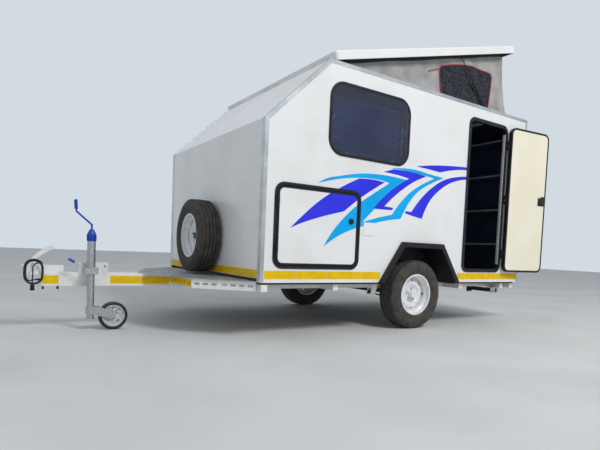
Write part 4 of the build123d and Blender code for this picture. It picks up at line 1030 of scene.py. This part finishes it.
def rounded_block(name, centre, size, corner_radius, low_y, high_y):
    """A block with round upright corners, to cut film with."""
    nothing_selected()
    bpy.ops.mesh.primitive_plane_add(size=1, location=(0, 0, 0))
    piece = bpy.context.object
    piece.name = name
    bpy.ops.object.mode_set(mode="EDIT")
    bpy.ops.mesh.select_all(action="SELECT")
    bpy.ops.transform.resize(value=(size[0], size[1], 1), center_override=(0, 0, 0))
    bpy.ops.mesh.bevel(offset=corner_radius, segments=8, affect="VERTICES")
    bpy.ops.mesh.extrude_region_move(TRANSFORM_OT_translate={"value": (0, 0, high_y - low_y)})
    bpy.ops.object.mode_set(mode="OBJECT")
    piece.data.transform(Matrix.Translation((centre[0], high_y, centre[1])) @ Matrix.Rotation(math.pi / 2, 4, "X"))
    return face_outwards(piece)


# %% Cut, lay and mirror the film
locker_centre, locker_size = (1.906, 0.427), (0.818, 0.642)
wall_cutter = rounded_block("wall_cutter", locker_centre, (locker_size[0] - 0.022, locker_size[1] - 0.022), 0.071, -1.05, -0.95)
door_cutter = rounded_block("door_cutter", locker_centre, (locker_size[0] - 0.070, locker_size[1] - 0.070), 0.047, -1.05, -0.95)
doorway_centre = (3.932, 0.853)
way_cutter = rounded_block("way_cutter", doorway_centre, (0.615 - 0.020, 1.508 - 0.020), 0.068, -1.05, -0.95)
entry_cutter = rounded_block("entry_cutter", doorway_centre, (0.585 - 0.044, 1.490 - 0.044), 0.048, -1.10, -0.95)
hinge_spot = Vector((4.2345, -1.030, 0))
entry_turn = (
    Matrix.Translation(hinge_spot) @ Matrix.Rotation(math.radians(174), 4, "Z") @ Matrix.Translation(-hinge_spot)
)
for layer, (name, (material, outline)) in enumerate(stripes.items()):
    stack = film * (0.6 + 1.15 * layer)
    for side, label in ((-1, "left"), (1, "right")):
        parts = [(cut_film(f"vinyl_{name}_{label}", outline, -1.0 - stack), "DIFFERENCE", [wall_cutter], "trailer")]
        if side < 0:
            parts[0][2].append(way_cutter)
        if name.startswith("blade"):
            parts.append((cut_film(f"vinyl_{name}_locker_{label}", outline, -1.005 - stack), "INTERSECT", [door_cutter], f"locker_door_{label}"))
        if side < 0 and name in ("upper_violet", "lower_violet"):
            parts.append((cut_film(f"vinyl_{name}_door", outline, -1.041 - stack), "INTERSECT", [entry_cutter], "entry_door"))
        for piece, operation, cutters, body in parts:
            for cutter in cutters:
                apply_modifier(piece, "BOOLEAN", operation=operation, object=cutter, solver="EXACT")
            if side > 0:
                piece.data.transform(Matrix.Scale(-1, 4, (0, 1, 0)))
                piece.data.flip_normals()
            if body == "entry_door":
                piece.data.transform(entry_turn)
            dress(piece, material, body)
for cutter in (wall_cutter, door_cutter, way_cutter, entry_cutter):
    bpy.data.objects.remove(cutter)

# %% [markdown]
# ## Reflective marking tape
# The tape comes in 300 mm lengths laid end to end, with round-cut corners so that it doesn't peel.

# %% Strips of tape along the beams, the skirt and the crossbar
tape_thick = 0.0008


def tape_run(name, start, end, out, low_z, high_z, body="trailer"):
    """A run of tape between two places along a face that looks in the direction out."""
    start, end, out = Vector(start), Vector(end), Vector(out)
    direction = (end - start).normalized()
    length = (end - start).length
    count = max(1, round(length / 0.30))
    strips = []
    for number in range(count):
        low = (number * length / count + 0.0008, -tape_thick, low_z)
        high = ((number + 1) * length / count - 0.0008, 0.0, high_z)
        strips.append(slab(f"{name}_{number}", low, high, 0.00035, 1))
    piece = join(name, strips)
    frame_turn = Matrix((direction, -out, Vector((0, 0, 1)))).transposed().to_4x4()
    piece.data.transform(Matrix.Translation(start) @ frame_turn)
    if frame_turn.to_3x3().determinant() < 0:
        piece.data.flip_normals()
    return dress(piece, marking_tape, body)


lean = math.radians(10)
beam_out = Vector((-math.sin(lean), -math.cos(lean), 0))
beam_start = Vector((0.570, -0.050, 0))
beam_way = Vector((math.cos(lean), -math.sin(lean), 0))
arch_foot = (2.550, 3.583)
for side, label in ((-1, "left"), (1, "right")):
    flip = Vector((1, -side, 1))
    runs = [
        ("nose", Vector((0.094, -0.050, 0)), Vector((0.205, -0.050, 0)), Vector((0, -1, 0)), -0.078, -0.017),
        ("beam", beam_start, beam_start + beam_way * 0.46, beam_out, -0.078, -0.017),
        ("skirt_front", Vector((1.432, -1.0, 0)), Vector((arch_foot[0] - 0.006 + 0.02, -1.0, 0)), Vector((0, -1, 0)), 0.028, 0.090),
        ("skirt_rear", Vector((arch_foot[1] + 0.006 - 0.02, -1.0, 0)), Vector((4.538, -1.0, 0)), Vector((0, -1, 0)), 0.028, 0.090),
        ("crossbar", Vector((1.025, -0.632, 0)), Vector((1.025, -0.140, 0)), Vector((-1, 0, 0)), -0.058, -0.006),
        ("front_foot", Vector((1.400, -0.950, 0)), Vector((1.400, -0.015, 0)), Vector((-1, 0, 0)), 0.034, 0.092),
    ]
    for name, start, end, out, low_z, high_z in runs:
        if side < 0:
            tape_run(f"tape_{name}_{label}", start, end, out, low_z, high_z)
        else:
            mirror_y = lambda place: Vector((place.x, -place.y, place.z))
            tape_run(f"tape_{name}_{label}", mirror_y(start), mirror_y(end), mirror_y(out), low_z, high_z)
print("tape laid")

# %% [markdown]
# ## Tread plate
# The front deck is five-millimetre plate with raised bars in crossed pairs. One bar is modelled,
# repeated over a rectangle by two arrays, and the bars that miss the plate are taken away.

# %% Raised bars on the deck
plate_top = 0.008
bar = slab("bar", (-0.011, -0.0028, plate_top - 0.0005), (0.011, 0.0028, plate_top + 0.0014), 0.0012, 1)
bar.data.transform(Matrix.Rotation(math.radians(45), 4, "Z"))
cross = slab("bar_across", (-0.011, -0.0028, plate_top - 0.0005), (0.011, 0.0028, plate_top + 0.0014), 0.0012, 1)
cross.data.transform(Matrix.Translation((0.017, 0.017, 0)) @ Matrix.Rotation(math.radians(-45), 4, "Z"))
bars = join("deck_tread_bars", [bar, cross])
bars.data.transform(Matrix.Translation((0.832, -0.960, 0)))
for count, offset in ((17, (0.034, 0, 0)), (57, (0, 0.034, 0))):
    apply_modifier(bars, "ARRAY", count=count, use_relative_offset=False, use_constant_offset=True, constant_offset_displace=offset)


def off_plate(place):
    """True for a place beyond the deck plate's edge."""
    side_room = abs(place.y)
    if place.x > 1.384 or place.x < 0.834:
        return True
    if place.x < 1.022:
        return side_room > 0.130 + (place.x - 0.820) * (0.515 / 0.202) - 0.014
    return side_room > 0.645 + (place.x - 1.022) * (0.335 / 0.374) - 0.012


pick(bars, off_plate)
bpy.ops.mesh.select_linked()
bpy.ops.mesh.delete(type="VERT")
bpy.ops.object.mode_set(mode="OBJECT")
dress(bars, deck_metal, "trailer")
print("deck bars", len(bars.data.polygons) // 26)

# %% [markdown]
# ## Window frames
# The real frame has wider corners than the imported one, so it is made here: a flat moulded ring, cut
# out of one rounded plate by another. Four crescents of panel close the wall's hole behind its corners.

# %% Frames and the panel behind their corners
window_centre = (2.395, 1.295)
for side, label in ((-1, "left"), (1, "right")):
    ring = rounded_block(f"window_frame_{label}", window_centre, (0.876, 0.578), 0.135, -1.006, -0.994)
    inner = rounded_block("window_light", window_centre, (0.828, 0.530), 0.111, -1.05, -0.95)
    apply_modifier(ring, "BOOLEAN", operation="DIFFERENCE", object=inner, solver="EXACT")
    apply_modifier(ring, "BEVEL", width=0.0025, segments=3, limit_method="ANGLE")
    corners = rounded_block(f"window_corners_{label}", window_centre, (0.848, 0.550), 0.064, -1.0, -0.975)
    hole = rounded_block("window_hole", window_centre, (0.850, 0.552), 0.122, -1.05, -0.95)
    apply_modifier(corners, "BOOLEAN", operation="DIFFERENCE", object=hole, solver="EXACT")
    for cutter in (inner, hole):
        bpy.data.objects.remove(cutter)
    if side > 0:
        for piece in (ring, corners):
            piece.data.transform(Matrix.Scale(-1, 4, (0, 1, 0)))
            piece.data.flip_normals()
    dress(ring, moulded_black, "trailer", smooth=30, instead_of=["window_frames"] if side < 0 else ())
    dress(corners, gelcoat, "trailer", smooth=30)
    print(ring.name, len(ring.data.polygons), "faces;", corners.name, len(corners.data.polygons), "faces")

# %% [markdown]
# ## Pleated blinds
# A blind is one sheet folded like a concertina between two rails, with a pleat every 26 mm, drawn three
# quarters up. A grid with two rows to a pleat has every other row pushed back.

# %% Blinds with their rails
window_x, window_z = 2.395, 1.295
blind_low_x, blind_high_x = 1.984, 2.712
blind_low_z, blind_high_z = 1.052, 1.452
pleats = 16
for side, label in ((-1, "left"), (1, "right")):
    nothing_selected()
    bpy.ops.mesh.primitive_grid_add(x_subdivisions=24, y_subdivisions=2 * pleats, size=2, location=(0, 0, 0))
    blind = bpy.context.object
    blind.name = f"window_blind_{label}"
    for vertex in blind.data.vertices:
        row = round((vertex.co.y + 1) * pleats)
        depth = 0.0095 if row % 2 else 0.0
        sag = 0.0012 * math.sin(3.0 * vertex.co.x + row)
        x = blind_low_x + (vertex.co.x + 1) / 2 * (blind_high_x - blind_low_x)
        z = blind_low_z + (vertex.co.y + 1) / 2 * (blind_high_z - blind_low_z) + sag
        vertex.co = (x, side * (0.9815 - depth), z)
    dress(blind, blind_cloth, "trailer", instead_of=["window_blinds"] if side < 0 else ())
    rails = []
    for low_z, high_z in ((blind_low_z - 0.018, blind_low_z + 0.002), (blind_high_z - 0.002, blind_high_z + 0.022)):
        low_y, high_y = sorted((side * 0.9700, side * 0.9850))
        rails.append(slab("rail", (blind_low_x, low_y, low_z), (blind_high_x, high_y, high_z), 0.003, 3))
    dress(join(f"blind_rails_{label}", rails), navy_laminate, "trailer", smooth=35)
    catches = []
    for x, z, wide, tall in (
        (2.006, 1.300, 0.012, 0.040), (2.150, 1.036, 0.040, 0.010), (2.640, 1.036, 0.040, 0.010),
        (2.784, 1.300, 0.012, 0.040), (2.746, 1.215, 0.009, 0.250),
    ):
        low_y, high_y = sorted((side * 0.9875, side * 0.9965))
        low, high = (x - wide / 2, low_y, z - tall / 2), (x + wide / 2, high_y, z + tall / 2)
        catches.append(slab("catch", low, high, 0.002, 2))
    dress(join(f"window_catches_{label}", catches), seal_rubber, "trailer", smooth=35)
print("blinds hung")

# %% [markdown]
# ## Small fittings
# The doorway has a pale foam seal down its hinge side. Each bolt hole in the crossbar's tape is a flat black disc,
# painted shade for the dark inside of the hole; the crank's cap is ribbed for grip, and the clamp's plate is held by
# two bolts.

# %% Seal, crossbar holes, cap ribs and bolts
seal = slab("doorway_seal", (4.1980, -1.0030, 0.185), (4.2047, -0.9740, 1.520), 0.002, 2)
dress(seal, seal_rubber, "trailer", smooth=35)

latch = slab("door_latch_box", (3.6655, -1.0112, 0.828), (3.7615, -1.0076, 0.912), 0.0016, 3)
knob = slab("door_latch_lever", (3.690, -1.0078, 0.858), (3.742, -1.0054, 0.880), 0.0010, 3)
latch = join("door_latch_box", [latch, knob])
latch.data.transform(entry_turn)
dress(latch, moulded_black, "entry_door", smooth=35)

# Flat black discs on the crossbar's tape: painted shade standing for the dark inside of each bolt hole.
hole_shade_discs = []
for side in (-1, 1):
    for place in (0.28, 0.38, 0.48, 0.59):
        hole = turned("hole", [(0.0085, 0.0), (0.0085, 0.0014), (0.0070, 0.0016)], sides=20)
        stand(hole, (-1, 0, 0), (1.0249, side * place, -0.032))
        hole_shade_discs.append(hole)
dress(join("crossbar_hole_shade_discs", hole_shade_discs), underbody_black, "trailer", smooth=35)

rib = slab("cap_ribs", (0.0322, -0.0016, 0.256), (0.0345, 0.0016, 0.298), 0.0007, 1)
only(rib)
bpy.ops.object.mode_set(mode="EDIT")
bpy.ops.mesh.select_all(action="SELECT")
bpy.ops.mesh.spin(steps=23, dupli=True, angle=2 * math.pi * 23 / 24, center=(0, 0, 0), axis=(0, 0, 1))
bpy.ops.object.mode_set(mode="OBJECT")
rib.data.transform(Matrix.Translation((0.415, -0.137, 0)))
dress(rib, blue_polythene, "trailer")

bolts = []
for x, z in ((0.372, 0.060), (0.530, 0.060)):
    head = turned("bolt", [(0.0100, 0.0), (0.0100, 0.002), (0.0080, 0.0022), (0.0080, 0.0080), (0.0068, 0.0088)], sides=6)
    bolts.append(stand(head, (0, -1, 0), (x, -0.0598, z)))
dress(join("clamp_bolts", bolts), galvanised, "trailer", smooth=30)
print("small fittings on")

# %% [markdown]
# ## Light, floor and background
# One large soft lamp from the left and behind the camera lights the side, and the world fills the
# shade. The camera and mirror-like surfaces see a plain white world.

# %% Lamp, world and floor
key_data = bpy.data.lights.new("key_lamp", "AREA")
key_data.shape = "DISK"
key_data.size = 3.0
key_data.energy = 560.0
key = bpy.data.objects.new("key_lamp", key_data)
scene.collection.objects.link(key)
key.location = (3.5, -8.5, 8.0)
key.rotation_euler = (Vector((2.6, 0, 0.6)) - key.location).to_track_quat("-Z", "Y").to_euler()

world = bpy.data.worlds.new("plain_studio")
scene.world = world
world.use_nodes = True
sky = world.node_tree
sky.nodes.clear()
rays = add_node(sky, "ShaderNodeLightPath")
seen = add_node(sky, "ShaderNodeMath", settings={"operation": "MAXIMUM"}, inputs={0: rays.outputs["Is Camera Ray"], 1: rays.outputs["Is Glossy Ray"]})
seen = add_node(sky, "ShaderNodeMath", settings={"operation": "MAXIMUM"}, inputs={0: seen.outputs[0], 1: rays.outputs["Is Transmission Ray"]})
fill = add_node(sky, "ShaderNodeBackground", inputs={"Color": linear("#e4ebf5"), "Strength": 0.55})
plain = add_node(sky, "ShaderNodeBackground", inputs={"Color": linear("#d3dbe2"), "Strength": 1.0})
both = add_node(sky, "ShaderNodeMixShader", inputs={0: seen.outputs[0], 1: fill.outputs[0], 2: plain.outputs[0]})
add_node(sky, "ShaderNodeOutputWorld", inputs={"Surface": both.outputs[0]})

nothing_selected()
bpy.ops.mesh.primitive_plane_add(size=60, location=(2, 0, -0.43))
floor = bpy.context.object
floor.name = "studio_floor"
floor_paint = finish("pale_floor", "#d9d9d6", 0.9)
drift(floor_paint, "#d4d4d1", "#dededb", 900.0)
floor.data.materials.append(floor_paint)
print("lamp", key_data.energy, "W at", round((key.location - Vector((2.6, 0, 0.6))).length, 1), "m")
